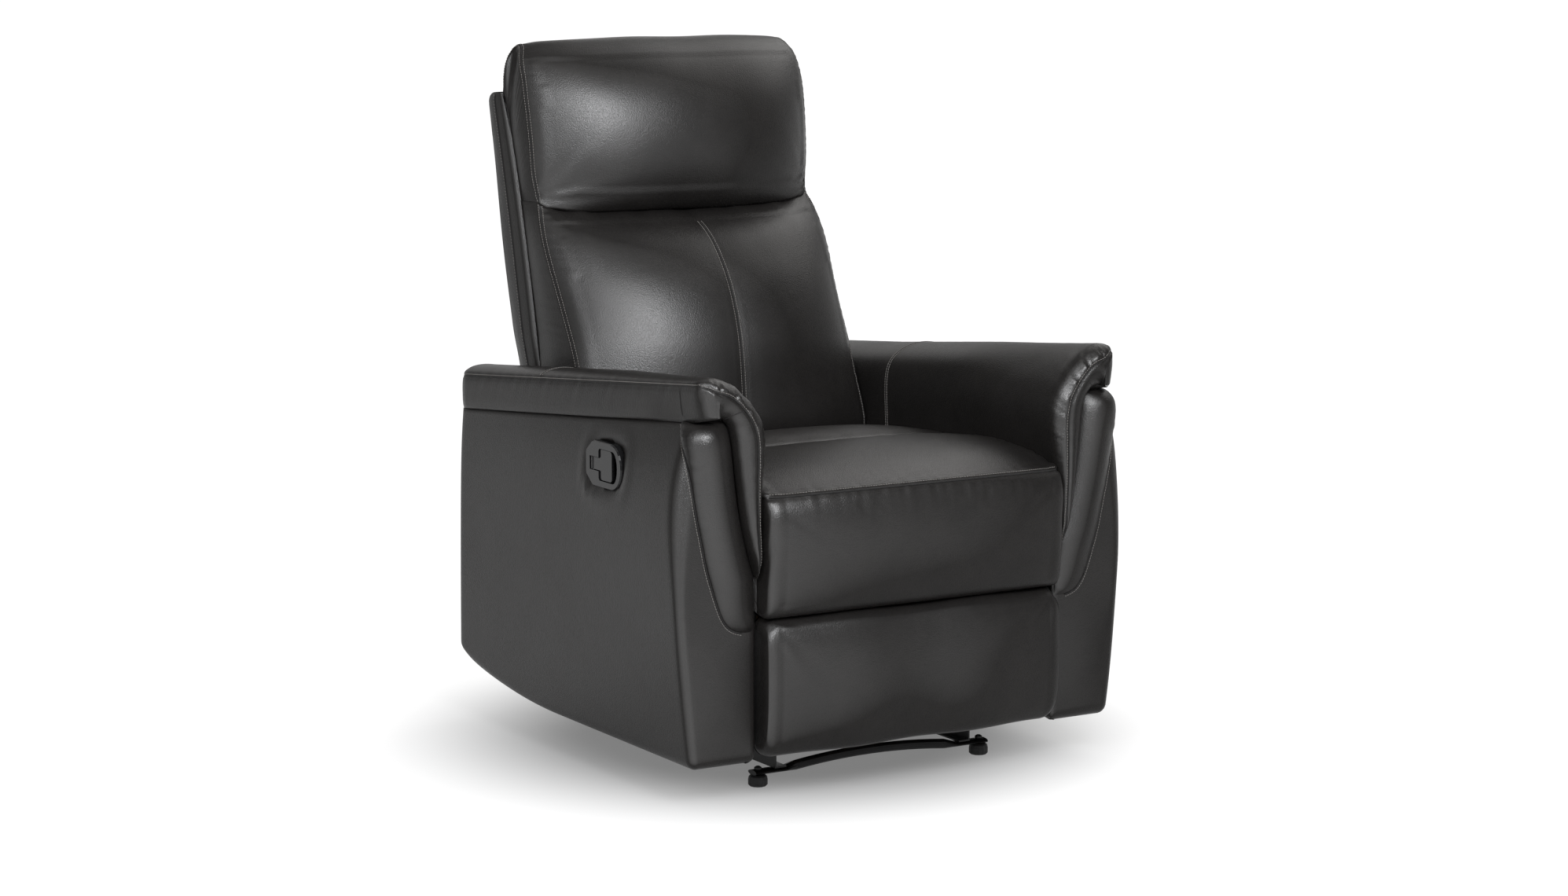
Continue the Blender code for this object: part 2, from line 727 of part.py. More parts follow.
# Back outlines. Each row gives the outline at the sides and then at the middle.
# Depth is a share of BACK_DEPTH in front of the cushions' rear plane, height a share of its span.
BACK_DEPTH = 0.220
LUMBAR_LOW = 0.442
LUMBAR_TOP = 0.845
HEAD_TOP = 1.106
LUMBAR_SHARES = (
    (0.590, 0.000, 0.750, 0.000),
    (0.640, 0.080, 0.890, 0.080),
    (0.615, 0.190, 0.930, 0.205),
    (0.565, 0.300, 0.955, 0.320),
    (0.527, 0.400, 0.978, 0.445),
    (0.461, 0.505, 0.959, 0.575),
    (0.386, 0.640, 0.900, 0.695),
    (0.321, 0.775, 0.805, 0.790),
    (0.255, 0.888, 0.680, 0.872),
    (0.210, 0.960, 0.510, 0.930),
    (0.185, 1.000, 0.380, 0.955),
)
HEAD_SHARES = (
    (0.185, 0.000, 0.380, -0.068),
    (0.170, 0.045, 0.480, -0.010),
    (0.170, 0.150, 0.580, 0.125),
    (0.195, 0.320, 0.632, 0.320),
    (0.212, 0.500, 0.650, 0.520),
    (0.216, 0.650, 0.620, 0.690),
    (0.200, 0.785, 0.530, 0.850),
    (0.155, 0.900, 0.400, 0.955),
    (0.095, 0.955, 0.255, 1.000),
    (0.030, 0.950, 0.110, 0.985),
    (-0.010, 0.895, 0.010, 0.930),
    (-0.064, 0.790, -0.060, 0.800),
    (-0.095, 0.690, -0.095, 0.690),
)
SHELL_CORNER_SHARES = ((0.13, 0.5), (0.5, 0.13), (1, 0))
# Half width of the back cushions as shares, over the height from the lumbar's foot to the top
WAIST_SHARES = ((0, 1), (0.40, 1), (0.575, 0.985), (0.607, 0.968), (0.64, 0.98), (0.75, 1), (0.93, 1),
                (0.958, 0.985), (0.979, 0.955), (1, 0.92))


def back_plane(z):
    return BACK_PLANE + LEAN_SHARE * (z - BACK_PLANE_HEIGHT)


def rear_line(z):
    """Where the back's cushions end and its frame and outside back start, at a height."""
    above = max(min(z, SHELL_TOP) - REAR_START, 0) / (SHELL_TOP - REAR_START)
    return back_plane(z) + REAR_SET * above**2.5


def rear_levels(low, high):
    """Heights from low to high at which the rear line is followed."""
    count = max(1, round((high - low) / REAR_STEP))
    return [mix(low, high, i / count) for i in range(count + 1)]


def back_cushion(name, rows, low, top, made):
    half = WELL_HALF - BACK_PLAY
    sections = []
    rear_count = len(rear_levels(low, top))
    for across in ACROSS_SHARES:
        full = fullness_share(across, 2.6, 0.75)
        ring = []
        for side_d, side_h, mid_d, mid_h in rows:
            z = mix(low, top, mix(side_h, mid_h, full))
            y = back_plane(z) - BACK_DEPTH * mix(side_d, mid_d, full)
            ring.append((y, z))
        foot = ring[0][1]
        head = min(ring[-1][1], SHELL_TOP - SHELL_CORNER)
        rear = [mix(head, foot, i / rear_count) for i in range(rear_count + 1)]
        ring += [(rear_line(z), z) for z in rear]
        section = []
        for y, z in ring:
            waist = read_table(WAIST_SHARES, (z - LUMBAR_LOW) / (HEAD_TOP - LUMBAR_LOW))
            section.append((across * half * waist, y, z))
        sections.append(section)
    return loft(name, sections, made, hinge_line(BACK_PIVOT))


def hinge_line(pivot):
    """A point on a joint axis that runs across the chair."""
    return (0, pivot[0], pivot[1])


def shell_rear(z):
    return back_plane(z) + SHELL_THICK


def back_shell():
    """The padded outside back, hollow towards the frame that it covers."""
    half = WELL_HALF - BACK_PLAY
    inner = half - SHELL_WALL
    pocket_low = SHELL_LOW + POCKET_END
    pocket_top = SHELL_TOP - POCKET_END
    levels = [(SHELL_LOW, 0, 0.45), (SHELL_LOW + SHELL_CORNER * 0.3, 0, 0.8), (SHELL_LOW + SHELL_CORNER, 0, 1)]
    levels += [(pocket_low, 0, 1), (pocket_low, 1, 1)]
    levels += [(z, 1, 1) for z in rear_levels(pocket_low, pocket_top)[1:-1]]
    levels += [(pocket_top, 1, 1), (pocket_top, 0, 1)]
    levels += [(SHELL_TOP - SHELL_CORNER * 0.45, 0, 0.85), (SHELL_TOP - SHELL_CORNER * 0.1, 0, 0.62),
               (SHELL_TOP, 0, 0.35)]
    sections = []
    for z, hollow, thick in levels:
        rim = rear_line(z) + GAP
        floor = rear_line(z) + POCKET_DEPTH if hollow else rim
        rear = rim + (shell_rear(z) - rim) * thick
        crown = SHELL_CROWN * thick
        wide = half + SHELL_SIDE * thick
        outside = [(half, rim), (wide, mix(rim, rear, 0.4)), (wide, rear - SHELL_CORNER * thick)]
        outside += [(wide - SHELL_CORNER * a, rear - SHELL_CORNER * b * thick) for a, b in SHELL_CORNER_SHARES]
        outside += [(half * 0.5, rear + crown * 0.75)]
        ring = [(inner, floor), (inner, rim)] + outside + [(0, rear + crown)]
        ring += [(-x, y) for x, y in outside[::-1]] + [(-inner, rim), (-inner, floor)]
        sections.append([(x, y, z) for x, y in ring])
    return loft("back_shell", sections, leather("shell_leather"), hinge_line(BACK_PIVOT))


def leaning_bar(name, x0, x1, low, high, made):
    """A hardwood member of the back frame, between two distances across and two heights."""
    sections = []
    for z in rear_levels(low, high):
        near = rear_line(z) + GAP
        sections.append([(x0, near, z), (x1, near, z), (x1, near + POST_THICK, z), (x0, near + POST_THICK, z)])
    return loft(name, sections, made, hinge_line(BACK_PIVOT))


def back_frame():
    post_near = plane(1)[1] + GAP
    for hand, side in SIDES.items():
        xs = sorted((side * post_near, side * (post_near + POST_WIDTH)))
        leaning_bar(f"back_post_{hand}", xs[0], xs[1], POST_LOW, POST_TOP, hardwood(f"post_wood_{hand}"))
    span = plane(1)[0] - GAP
    leaning_bar("back_rail_upper", -post_near + GAP, post_near - GAP, POST_TOP - CROSS_RAIL_HEIGHT, POST_TOP,
                hardwood("upper_rail_wood"))
    leaning_bar("back_rail_lower", -span, span, LOWER_RAIL_LOW, LOWER_RAIL_LOW + CROSS_RAIL_HEIGHT,
                hardwood("lower_rail_wood"))


def back_brackets():
    """Steel brackets that carry the posts on the mechanism plates' rear ears."""
    near, far = plane(1)
    top = BACK_PIVOT[1] + BRACKET_RISE
    lap = POST_THICK - 2 * GAP
    for hand, side in SIDES.items():
        low = BACK_PIVOT[1] - EAR
        outline = [
            (BACK_PIVOT[0] - EAR, BACK_PIVOT[1] - EAR),
            (back_plane(low) + lap, low),
            (back_plane(top) + lap, top),
            (back_plane(top) + 2 * GAP, top),
            (back_plane(BACK_PIVOT[1] + EAR) + 2 * GAP, BACK_PIVOT[1] + EAR),
            (BACK_PIVOT[0] - EAR, BACK_PIVOT[1] + EAR),
        ]
        radii = (EAR * 0.95, EAR * 0.5, EAR * 0.3, EAR * 0.3, EAR * 0.5, EAR * 0.95)
        plate(f"back_bracket_{hand}", side, near, far, fillet(outline, radii), black_steel(f"bracket_steel_{hand}"),
              bosses=[(BACK_PIVOT, PIVOT_PIN, PLANE_START - GAP)], pivot=hinge_line(BACK_PIVOT))


def side_plates():
    """Mechanism plates: a beam under the seat box, a leg to the base and an ear for the back."""
    near, far = plane(0)
    leg_front = TILT_PIVOT[0] - EAR
    outline = [
        (PLATE_FRONT, PLATE_LOW),
        (leg_front - PLATE_LEG, PLATE_LOW),
        (leg_front, TILT_PIVOT[1] - EAR),
        (TILT_PIVOT[0] + EAR * 0.7, TILT_PIVOT[1] - EAR),
        (PLATE_REAR, PLATE_LOW),
        (PLATE_REAR + EAR, BOX_TOP),
        (BACK_PIVOT[0] + EAR, BACK_PIVOT[1] - EAR),
        (BACK_PIVOT[0] + EAR, BACK_PIVOT[1] + EAR),
        (BACK_PIVOT[0] - EAR, BACK_PIVOT[1] + EAR),
        (PLATE_REAR - PLATE_LEG, PLATE_TOP),
        (PLATE_FRONT, PLATE_TOP),
    ]
    radii = (PLATE_CORNER, PLATE_CORNER, EAR * 0.6, EAR * 0.6, PLATE_CORNER, PLATE_CORNER, EAR * 0.5,
             EAR * 0.95, EAR * 0.95, PLATE_CORNER, PLATE_CORNER)
    holes = [
        (PIVOT_A, TORQUE_RADIUS + GAP),
        (PIVOT_D, PIN + PIN_PLAY),
        (TILT_PIVOT, PIVOT_PIN + PIN_PLAY),
        (BACK_PIVOT, PIVOT_PIN + PIN_PLAY),
    ]
    for hand, side in SIDES.items():
        plate(f"side_plate_{hand}", side, near, far, fillet(outline, radii), black_steel(f"plate_steel_{hand}"),
              holes=holes, pivot=hinge_line(TILT_PIVOT))


def linkage():
    """Drive link, two control links and main link on each side, and the tube that joins the drives."""
    drive = plane(1)
    main = plane(2)
    upper = plane(3)
    bracket = plane(4)
    for hand, side in SIDES.items():
        plate(f"drive_link_{hand}", side, *drive,
              hull([(PIVOT_A, TORQUE_BOSS), (PIVOT_B, LINK_HALF), (PIVOT_F, LINK_HALF)]),
              black_steel(f"drive_steel_{hand}"), holes=[(PIVOT_B, PIN + PIN_PLAY)],
              bosses=[(PIVOT_F, PIN, upper[1])], pivot=hinge_line(PIVOT_A))
        plate(f"front_control_link_{hand}", side, *drive,
              hull([(PIVOT_D, LINK_HALF), (PIVOT_E, LINK_HALF)]), black_steel(f"control_steel_{hand}"),
              bosses=[(PIVOT_D, PIN, plane(0)[0]), (PIVOT_E, PIN, main[1])], pivot=hinge_line(PIVOT_D))
        plate(f"main_link_{hand}", side, *main,
              hull([(PIVOT_B, LINK_HALF), (PIVOT_E, LINK_HALF), (PIVOT_C, LINK_HALF)]),
              black_steel(f"main_steel_{hand}"), holes=[(PIVOT_E, PIN + PIN_PLAY)],
              bosses=[(PIVOT_B, PIN, drive[0]), (PIVOT_C, PIN, bracket[1])], pivot=hinge_line(PIVOT_B))
        plate(f"upper_control_link_{hand}", side, *upper,
              hull([(PIVOT_F, LINK_HALF), (PIVOT_G, LINK_HALF)]), black_steel(f"upper_steel_{hand}"),
              holes=[(PIVOT_F, PIN + PIN_PLAY), (PIVOT_G, PIN + OPEN_PLAY)], pivot=hinge_line(PIVOT_F))
        outline = hull([(PIVOT_C, LINK_HALF), (PIVOT_G, LINK_HALF)])
        board_face = BOARD_REAR + GAP
        edge = [(board_face + LINK_HALF * 0.2, BRACKET_LOW), (board_face + LINK_HALF * 0.2, PIVOT_C[1])]
        outline = hull([(PIVOT_C, LINK_HALF), (PIVOT_G, LINK_HALF)] + [(p, LINK_HALF * 0.2) for p in edge])
        plate(f"footrest_bracket_{hand}", side, *bracket, outline, black_steel(f"footrest_steel_{hand}"),
              holes=[(PIVOT_C, PIN + PIN_PLAY)], bosses=[(PIVOT_G, PIN, upper[0])], pivot=hinge_line(PIVOT_C))
    end = drive[0] - GAP
    rod("torque_tube", "x", PIVOT_A, TORQUE_RADIUS, -end, end, black_steel("tube_steel"), pivot=hinge_line(PIVOT_A))


# Footrest pad outline: depth as a share of its fullness in front of the board, height as a share
# of the pad's own height. Each row gives the outline at the sides and then at the middle.
FOOTREST_SHARES = (
    (0.00, 0.010, 0.00, 0.010),
    (0.15, 0.000, 0.25, 0.000),
    (0.50, 0.045, 0.66, 0.040),
    (0.66, 0.180, 0.88, 0.170),
    (0.72, 0.420, 0.98, 0.420),
    (0.72, 0.700, 1.00, 0.700),
    (0.66, 0.900, 0.90, 0.905),
    (0.46, 0.975, 0.62, 0.985),
    (0.20, 1.000, 0.30, 1.000),
    (0.00, 0.995, 0.00, 0.995),
)


def footrest():
    front = BOARD_REAR - BOARD_THICK
    block("footrest_board", (-BOARD_HALF, front, BOARD_LOW), (BOARD_HALF, BOARD_REAR, BOARD_TOP),
          hardwood("board_wood"), hinge_line(PIVOT_C))
    half = WELL_HALF - FOOTREST_PLAY
    sections = []
    for across in ACROSS_SHARES:
        full = fullness_share(across, 4.0, 0.6)
        ring = []
        for side_d, side_h, mid_d, mid_h in FOOTREST_SHARES:
            y = front - GAP - FOOTREST_FULL * mix(side_d, mid_d, full)
            ring.append((across * half, y, mix(FOOTREST_LOW, FOOTREST_TOP, mix(side_h, mid_h, full))))
        sections.append(ring)
    loft("footrest_pad", sections, leather("footrest_leather"), hinge_line(PIVOT_C))


def tube_flat():
    """Height of the middle of the cross tubes' pressed ends."""
    return FOOT_HEIGHT + GAP + TUBE_FLAT


def rail_seat():
    """Height of the side rails' underside."""
    return tube_flat() + TUBE_FLAT + GAP


def bracket_seat():
    """Height of the brackets' underside, on top of the side rails."""
    return rail_seat() + RAIL_HEIGHT + GAP


def hide_helper(helper):
    helper.hide_render = True
    helper.display_type = "WIRE"


def combine(piece, helper, operation):
    """Cut a helper out of a piece, or join it on."""
    hide_helper(helper)
    step = piece.modifiers.new(helper.name, "BOOLEAN")
    step.operation = operation
    step.object = helper
    step.solver = "EXACT"


def cross_tube(place, y, arch):
    """A round tube between two feet, arched, with its ends pressed flat and drilled."""
    flat_from = TUBE_END - TUBE_FLAT_LENGTH
    round_to = flat_from - TUBE_BLEND
    xs = [round_to * i / 6 for i in range(7)] + [flat_from - TUBE_BLEND * 0.5, flat_from, TUBE_END]
    xs = [-x for x in reversed(xs[1:])] + xs
    sections = []
    for x in xs:
        flat = ease((abs(x) - round_to) / TUBE_BLEND)
        high = mix(TUBE_RADIUS, TUBE_FLAT, flat)
        wide = mix(TUBE_RADIUS, TUBE_FLAT_WIDTH, flat)
        rise = arch * max(0, 1 - (x / flat_from) ** 2)
        ring = circle((0, 0), 1, ROUND)
        sections.append([(x, y + u * wide, tube_flat() + rise + v * high) for u, v in ring])
    made = black_steel(f"{place}_tube_steel")
    tube = loft(f"{place}_cross_tube", sections, made)
    for hand, side in SIDES.items():
        drill = rod(f"{place}_{hand}_stud_hole", "z", (side * FOOT_HALF, y), STUD_RADIUS + PIN_PLAY, 0,
                    bracket_seat(), made, ROUND)
        combine(tube, drill, "DIFFERENCE")


def foot(name, x, y):
    """A round glide whose stud passes through the tube's pressed end to a dome nut."""
    nut_low = tube_flat() + TUBE_FLAT + GAP
    rings = [(0, FOOT_RADIUS - FOOT_CHAMFER), (FOOT_CHAMFER, FOOT_RADIUS), (FOOT_HEIGHT * 0.6, FOOT_RADIUS),
             (FOOT_HEIGHT - FOOT_CHAMFER, FOOT_TOP_RADIUS), (FOOT_HEIGHT, FOOT_TOP_RADIUS - FOOT_CHAMFER),
             (FOOT_HEIGHT, STUD_RADIUS), (nut_low, STUD_RADIUS), (nut_low, NUT_RADIUS),
             (nut_low + NUT_HEIGHT * 0.6, NUT_RADIUS), (nut_low + NUT_HEIGHT, NUT_RADIUS * 0.5)]
    sections = [[(u, v, z) for u, v in circle((x, y), radius, ROUND)] for z, radius in rings]
    return loft(name, sections, black_plastic(f"{name}_plastic"))


def base_rail(hand, side):
    """A channel that lies on both cross tubes, open towards the middle."""
    low = rail_seat()
    top = low + RAIL_HEIGHT
    inner = RAIL_FACE - RAIL_WIDTH
    web = RAIL_FACE - RAIL_WALL
    ring = [(inner, low), (RAIL_FACE, low), (RAIL_FACE, top), (inner, top), (inner, top - RAIL_WALL),
            (web, top - RAIL_WALL), (web, low + RAIL_WALL), (inner, low + RAIL_WALL)]
    sections = [[(side * x, y, z) for x, z in ring] for y in (FOOT_FRONT - RAIL_OVER, FOOT_REAR + RAIL_OVER)]
    return loft(f"base_rail_{hand}", sections, black_steel(f"rail_steel_{hand}"))


def base_bracket(hand, side):
    """A bent plate that rises from the side rail to the pivot on which the chassis tilts."""
    far = PLANE_START - PLANE_GAP
    near = far - PLATE
    low = bracket_seat()
    corner = PLATE / 2
    made = black_steel(f"base_bracket_steel_{hand}")
    ends = [((BASE_PLATE_FRONT + corner, low + corner), corner), ((BASE_PLATE_REAR - corner, low + corner), corner)]
    bracket = plate(f"base_bracket_{hand}", side, near, far, hull(ends + [(TILT_PIVOT, EAR)]), made,
                    bosses=[(TILT_PIVOT, PIVOT_PIN, plane(0)[1])])
    flange = side_block(f"bracket_flange_{hand}", side, RAIL_FACE - RAIL_WIDTH, near + PLATE / 2,
                        (BASE_PLATE_FRONT + corner, low), (BASE_PLATE_REAR - corner, low + PLATE), made)
    combine(bracket, flange, "UNION")


def front_upright(hand, side):
    """A bent stop that the mechanism plate rests on while the chassis isn't tilted."""
    low = bracket_seat()
    top = PLATE_LOW - GAP
    far = PLANE_START - PLANE_GAP
    near = far - PLATE
    shelf = PLANE_START + PLATE
    inner = RAIL_FACE - RAIL_WIDTH
    ring = [(inner, low), (far, low), (far, top - PLATE), (shelf, top - PLATE), (shelf, top), (near, top),
            (near, low + PLATE), (inner, low + PLATE)]
    sections = [[(side * x, y, z) for x, z in ring] for y in (UPRIGHT_FRONT, UPRIGHT_FRONT + UPRIGHT_DEPTH)]
    return loft(f"front_upright_{hand}", sections, black_steel(f"upright_steel_{hand}"))


def base():
    """Four feet, two cross tubes, two side rails and the brackets that carry the chassis."""
    for place, y, arch in (("front", FOOT_FRONT, TUBE_ARCH), ("rear", FOOT_REAR, 0)):
        cross_tube(place, y, arch)
        for hand, side in SIDES.items():
            foot(f"foot_{place}_{hand}", side * FOOT_HALF, y)
    for hand, side in SIDES.items():
        base_rail(hand, side)
        base_bracket(hand, side)
        front_upright(hand, side)


def nose(front, depth, half, steps):
    """Half an ellipse that closes an outline towards the front, from its top to its foot."""
    centre = front + depth
    turns = [pi * (0.5 + i / steps) for i in range(steps + 1)]
    return [(centre + depth * cos(a), LEVER_Z + half * sin(a)) for a in turns]


def bezel_outline(grow=0.0):
    """Outline of the lever's bezel: cut corners to the rear, a full round to the front."""
    length = BEZEL_LENGTH / 2 + grow
    height = BEZEL_HEIGHT / 2 + grow
    rear = LEVER_Y + length
    low, top = LEVER_Z - height, LEVER_Z + height
    round_front = nose(LEVER_Y - length, BEZEL_NOSE + grow, height, 14)
    points = round_front + [(rear - BEZEL_CHAMFER * 1.3, low), (rear, low + BEZEL_CHAMFER),
                            (rear, top - BEZEL_CHAMFER), (rear - BEZEL_CHAMFER * 1.3, top)]
    soft = BEZEL_CHAMFER * 0.6
    return fillet(points, [0] * len(round_front) + [soft] * 4, 4)


def opening_outline(grow=0.0):
    """Outline of the bezel's opening: the paddle's T shape and the finger space in front of it."""
    neck = LEVER_Y + TAB_FRONT + grow
    rear = LEVER_Y + TAB_REAR + grow
    head = HEAD_HALF + grow
    tab = TAB_HALF + grow
    round_front = nose(LEVER_Y + CAVITY_FRONT - grow, CAVITY_NOSE + grow, head, 10)
    points = round_front + [(neck, LEVER_Z - head), (neck, LEVER_Z - tab), (rear, LEVER_Z - tab),
                            (rear, LEVER_Z + tab), (neck, LEVER_Z + tab), (neck, LEVER_Z + head)]
    return fillet(points, [0] * len(round_front) + [HEAD_CORNER, 0, 0, 0, 0, HEAD_CORNER], 4)


def bridge(builder, one, two):
    for i in range(len(one)):
        j = (i + 1) % len(one)
        builder.faces.new((one[i], one[j], two[j], two[i]))


def fill(builder, loops):
    """Close flat loops, the first round the rest, with triangles."""
    verts = [v for loop in loops for v in loop]
    for a, b, c in tessellate_polygon([[Vector((v.co.y, v.co.z, 0)) for v in loop] for loop in loops]):
        builder.faces.new((verts[a], verts[b], verts[c]))


def lever_bezel():
    """A moulded rim with a blind cup behind it, on the left arm's outer face."""
    builder = bmesh.new()

    def ring(outline, distance):
        return [builder.verts.new((-distance, y, z)) for y, z in outline]

    rim_back = BEZEL_FACE - BEZEL_RIM
    cup_back = BEZEL_FACE - BEZEL_CUP
    outer_front = ring(bezel_outline(-BEZEL_WALL * 0.6), BEZEL_FACE)
    outer_edge = ring(bezel_outline(), BEZEL_FACE - BEZEL_WALL)
    outer_back = ring(bezel_outline(), rim_back)
    mouth = ring(opening_outline(), BEZEL_FACE)
    floor = ring(opening_outline(), cup_back + BEZEL_WALL)
    cup_top = ring(opening_outline(BEZEL_WALL), rim_back)
    cup_end = ring(opening_outline(BEZEL_WALL), cup_back)
    fill(builder, [outer_front, mouth])
    bridge(builder, outer_front, outer_edge)
    bridge(builder, outer_edge, outer_back)
    fill(builder, [outer_back, cup_top])
    bridge(builder, cup_top, cup_end)
    fill(builder, [cup_end])
    bridge(builder, mouth, floor)
    fill(builder, [floor])
    return finish("lever_bezel", builder, black_plastic("bezel_plastic"))


def lever_axis():
    """Place of the lever's upright pin: distance from the middle plane, and y."""
    return BEZEL_FACE - PADDLE_SET - PADDLE_THICK / 2, LEVER_Y + TAB_REAR - KNUCKLE - PADDLE_PLAY


def lever_paddle():
    """The T-shaped handle: a knuckle round the pin, a narrow tab and a wide head."""
    distance, y = lever_axis()
    neck = LEVER_Y + TAB_FRONT - PADDLE_PLAY
    front = LEVER_Y + HEAD_FRONT
    head = HEAD_HALF - PADDLE_PLAY
    tab = TAB_HALF - PADDLE_PLAY
    points = [(front, LEVER_Z - head), (neck, LEVER_Z - head), (neck, LEVER_Z - tab), (y, LEVER_Z - tab),
              (y, LEVER_Z + tab), (neck, LEVER_Z + tab), (neck, LEVER_Z + head), (front, LEVER_Z + head)]
    outline = fillet(points, (HEAD_CORNER, HEAD_CORNER, 0, 0, 0, 0, HEAD_CORNER, HEAD_CORNER), 3)
    pivot = (-distance, y, LEVER_Z)
    made = black_plastic("paddle_plastic")
    paddle = plate("release_lever", -1, distance - PADDLE_THICK / 2, distance + PADDLE_THICK / 2, outline, made,
                   pivot=pivot)
    knuckle = rod("knuckle_form", "z", (-distance, y), KNUCKLE, LEVER_Z - tab, LEVER_Z + tab, made)
    bore = rod("knuckle_bore", "z", (-distance, y), LEVER_PIN + GAP, LEVER_Z - HEAD_HALF, LEVER_Z + HEAD_HALF,
               made, ROUND)
    combine(paddle, knuckle, "UNION")
    combine(paddle, bore, "DIFFERENCE")
    rod("lever_pin", "z", (-distance, y), LEVER_PIN, LEVER_Z - TAB_HALF + GAP, LEVER_Z + TAB_HALF - GAP,
        black_steel("lever_pin_steel"), ROUND)


def recess_arm(arm):
    """Let the bezel and its cup into the arm's outer face."""
    deep = BEZEL_FACE - BEZEL_RIM - GAP
    cup_deep = BEZEL_FACE - BEZEL_CUP - GAP
    beyond = BEZEL_FACE + BEZEL_RIM * 2
    seat = plate("bezel_seat_form", -1, deep, beyond, bezel_outline(GAP), leather("seat_form"))
    cup = plate("bezel_cup_form", -1, cup_deep, deep + GAP, opening_outline(BEZEL_WALL + GAP), leather("cup_form"))
    combine(arm, seat, "DIFFERENCE")
    combine(arm, cup, "DIFFERENCE")


def release_cable():
    """The lever's cable, where it crosses from the arm to the mechanism plate."""
    start = WELL_HALF - GAP
    end = PLANE_START + PLATE + GAP
    steps = 14
    points = []
    for i in range(steps + 1):
        share = i / steps
        bend = ease(mix(-CABLE_LEAD_SHARE, 1 + CABLE_LEAD_SHARE, share))
        points.append((-mix(start, end, share), CABLE_Y - CABLE_RUN * bend, CABLE_Z - CABLE_DROP * bend))
    return wire("release_cable", points, CABLE_RADIUS, black_plastic("cable_plastic"), 2)


def build():
    for old in list(bpy.data.objects):
        bpy.data.objects.remove(old, do_unlink=True)
    base()
    side_plates()
    seat_box()
    seat_springs()
    seat_cushion()
    for hand, side in SIDES.items():
        arm = arm_body(hand, side)
        arm_pad(hand, side)
        arm_panel(hand, side)
        if side < 0:
            recess_arm(arm)
    lever_bezel()
    lever_paddle()
    release_cable()
    back_shell()
    back_frame()
    back_brackets()
    back_cushion("lumbar_cushion", LUMBAR_SHARES, LUMBAR_LOW, LUMBAR_TOP, leather("lumbar_leather"))
    back_cushion("headrest_cushion", HEAD_SHARES, LUMBAR_TOP + GAP, HEAD_TOP, leather("headrest_leather"))
    linkage()
    footrest()


build()
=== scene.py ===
"""Looks for the recliner chair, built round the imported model."""

import json
from math import cos, pi, radians, sin

import bpy
import bmesh
import numpy as np
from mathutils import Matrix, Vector
from mathutils.bvhtree import BVHTree
from mathutils.kdtree import KDTree


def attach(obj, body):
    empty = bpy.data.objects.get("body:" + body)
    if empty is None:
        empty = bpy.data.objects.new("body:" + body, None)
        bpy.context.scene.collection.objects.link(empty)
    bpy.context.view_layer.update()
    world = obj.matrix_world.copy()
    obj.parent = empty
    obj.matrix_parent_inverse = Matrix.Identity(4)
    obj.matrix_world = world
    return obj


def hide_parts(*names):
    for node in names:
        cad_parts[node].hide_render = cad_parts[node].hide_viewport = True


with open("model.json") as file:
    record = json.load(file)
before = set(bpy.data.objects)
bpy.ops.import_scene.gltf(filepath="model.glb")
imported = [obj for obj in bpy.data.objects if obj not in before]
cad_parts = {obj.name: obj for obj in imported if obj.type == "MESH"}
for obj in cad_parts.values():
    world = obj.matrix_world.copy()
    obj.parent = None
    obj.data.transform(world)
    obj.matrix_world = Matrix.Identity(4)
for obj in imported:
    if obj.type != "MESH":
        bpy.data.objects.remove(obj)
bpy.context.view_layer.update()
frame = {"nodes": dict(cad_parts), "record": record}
SIDES = {"left": -1, "right": 1}

# ---------------------------------------------------------------- sizes taken from the model
GAP = 0.0003
WELL_HALF = 0.2665
ARM_WIDTH = 0.111
ARM_REAR = 0.376
ARM_FRONT = -0.405
ARM_LOW = 0.064
ARM_TAIL_RISE = 0.059
ARM_TAIL_START = 0.03
ARM_REAR_LEAN = 0.018
ARM_SEAM = 0.546
ARM_SLOPE = 0.092
ARM_CROWN = 0.026
ARM_FRONT_RADIUS = 0.028
ARM_REAR_RADIUS = 0.020
PAD_LEG = 0.0200
PAD_LEG_LOW = 0.345
PAD_HEIGHT = 0.069
PAD_OVERHANG = 0.004
PAD_DRAPE = 0.028
PAD_END_RADIUS = 0.028
PANEL_PAD = 0.019
PANEL_LIP = 0.0012
PANEL_FOOT = 0.262
PANEL_GROOVE = 0.0015
SEAT_HALF = WELL_HALF - 0.0030
SEAT_FRONT = -0.452
SEAT_REAR = 0.066
SEAT_LOW = 0.288
SEAT_TOP = 0.505
SEAT_PLATFORM = 0.3722
BACK_HALF = WELL_HALF - 0.0045
BACK_DEPTH = 0.220
LUMBAR_LOW = 0.442
LUMBAR_TOP = 0.845
HEAD_TOP = 1.106
SHELL_LOW = 0.215
SHELL_TOP = 1.018
SHELL_THICK = 0.0780
SHELL_CROWN = 0.007
FOOTREST_HALF = WELL_HALF - 0.0045
FOOTREST_FACE = -0.390
FOOTREST_FULL = 0.060
FOOTREST_LOW = 0.071
FOOTREST_TOP = 0.285
LEVER_Y = ARM_FRONT + 0.243
LEVER_Z = ARM_SEAM - 0.0565
BEZEL_LENGTH = 0.056
BEZEL_HEIGHT = 0.035
COLUMN_STEP = 0.0062
ROW_STEP = 0.0055
STITCH_LENGTH = 0.0035
STITCH_RADIUS = 0.00058
STITCH_SHAPE = [(-0.5, 0.25), (-0.36, 0.9), (0.0, 1.0), (0.36, 0.9), (0.5, 0.25)]
STITCH_SIDES = 5
CLOTH_FRAMES = 20
HELD_GROUP = "held"
CLOTH_SETTINGS = {"quality": 5, "mass": 0.25, "tension_stiffness": 22, "compression_stiffness": 22,
                  "shear_stiffness": 8, "bending_stiffness": 0.6, "use_pressure": True,
                  "vertex_group_mass": HELD_GROUP, "pin_stiffness": 4}
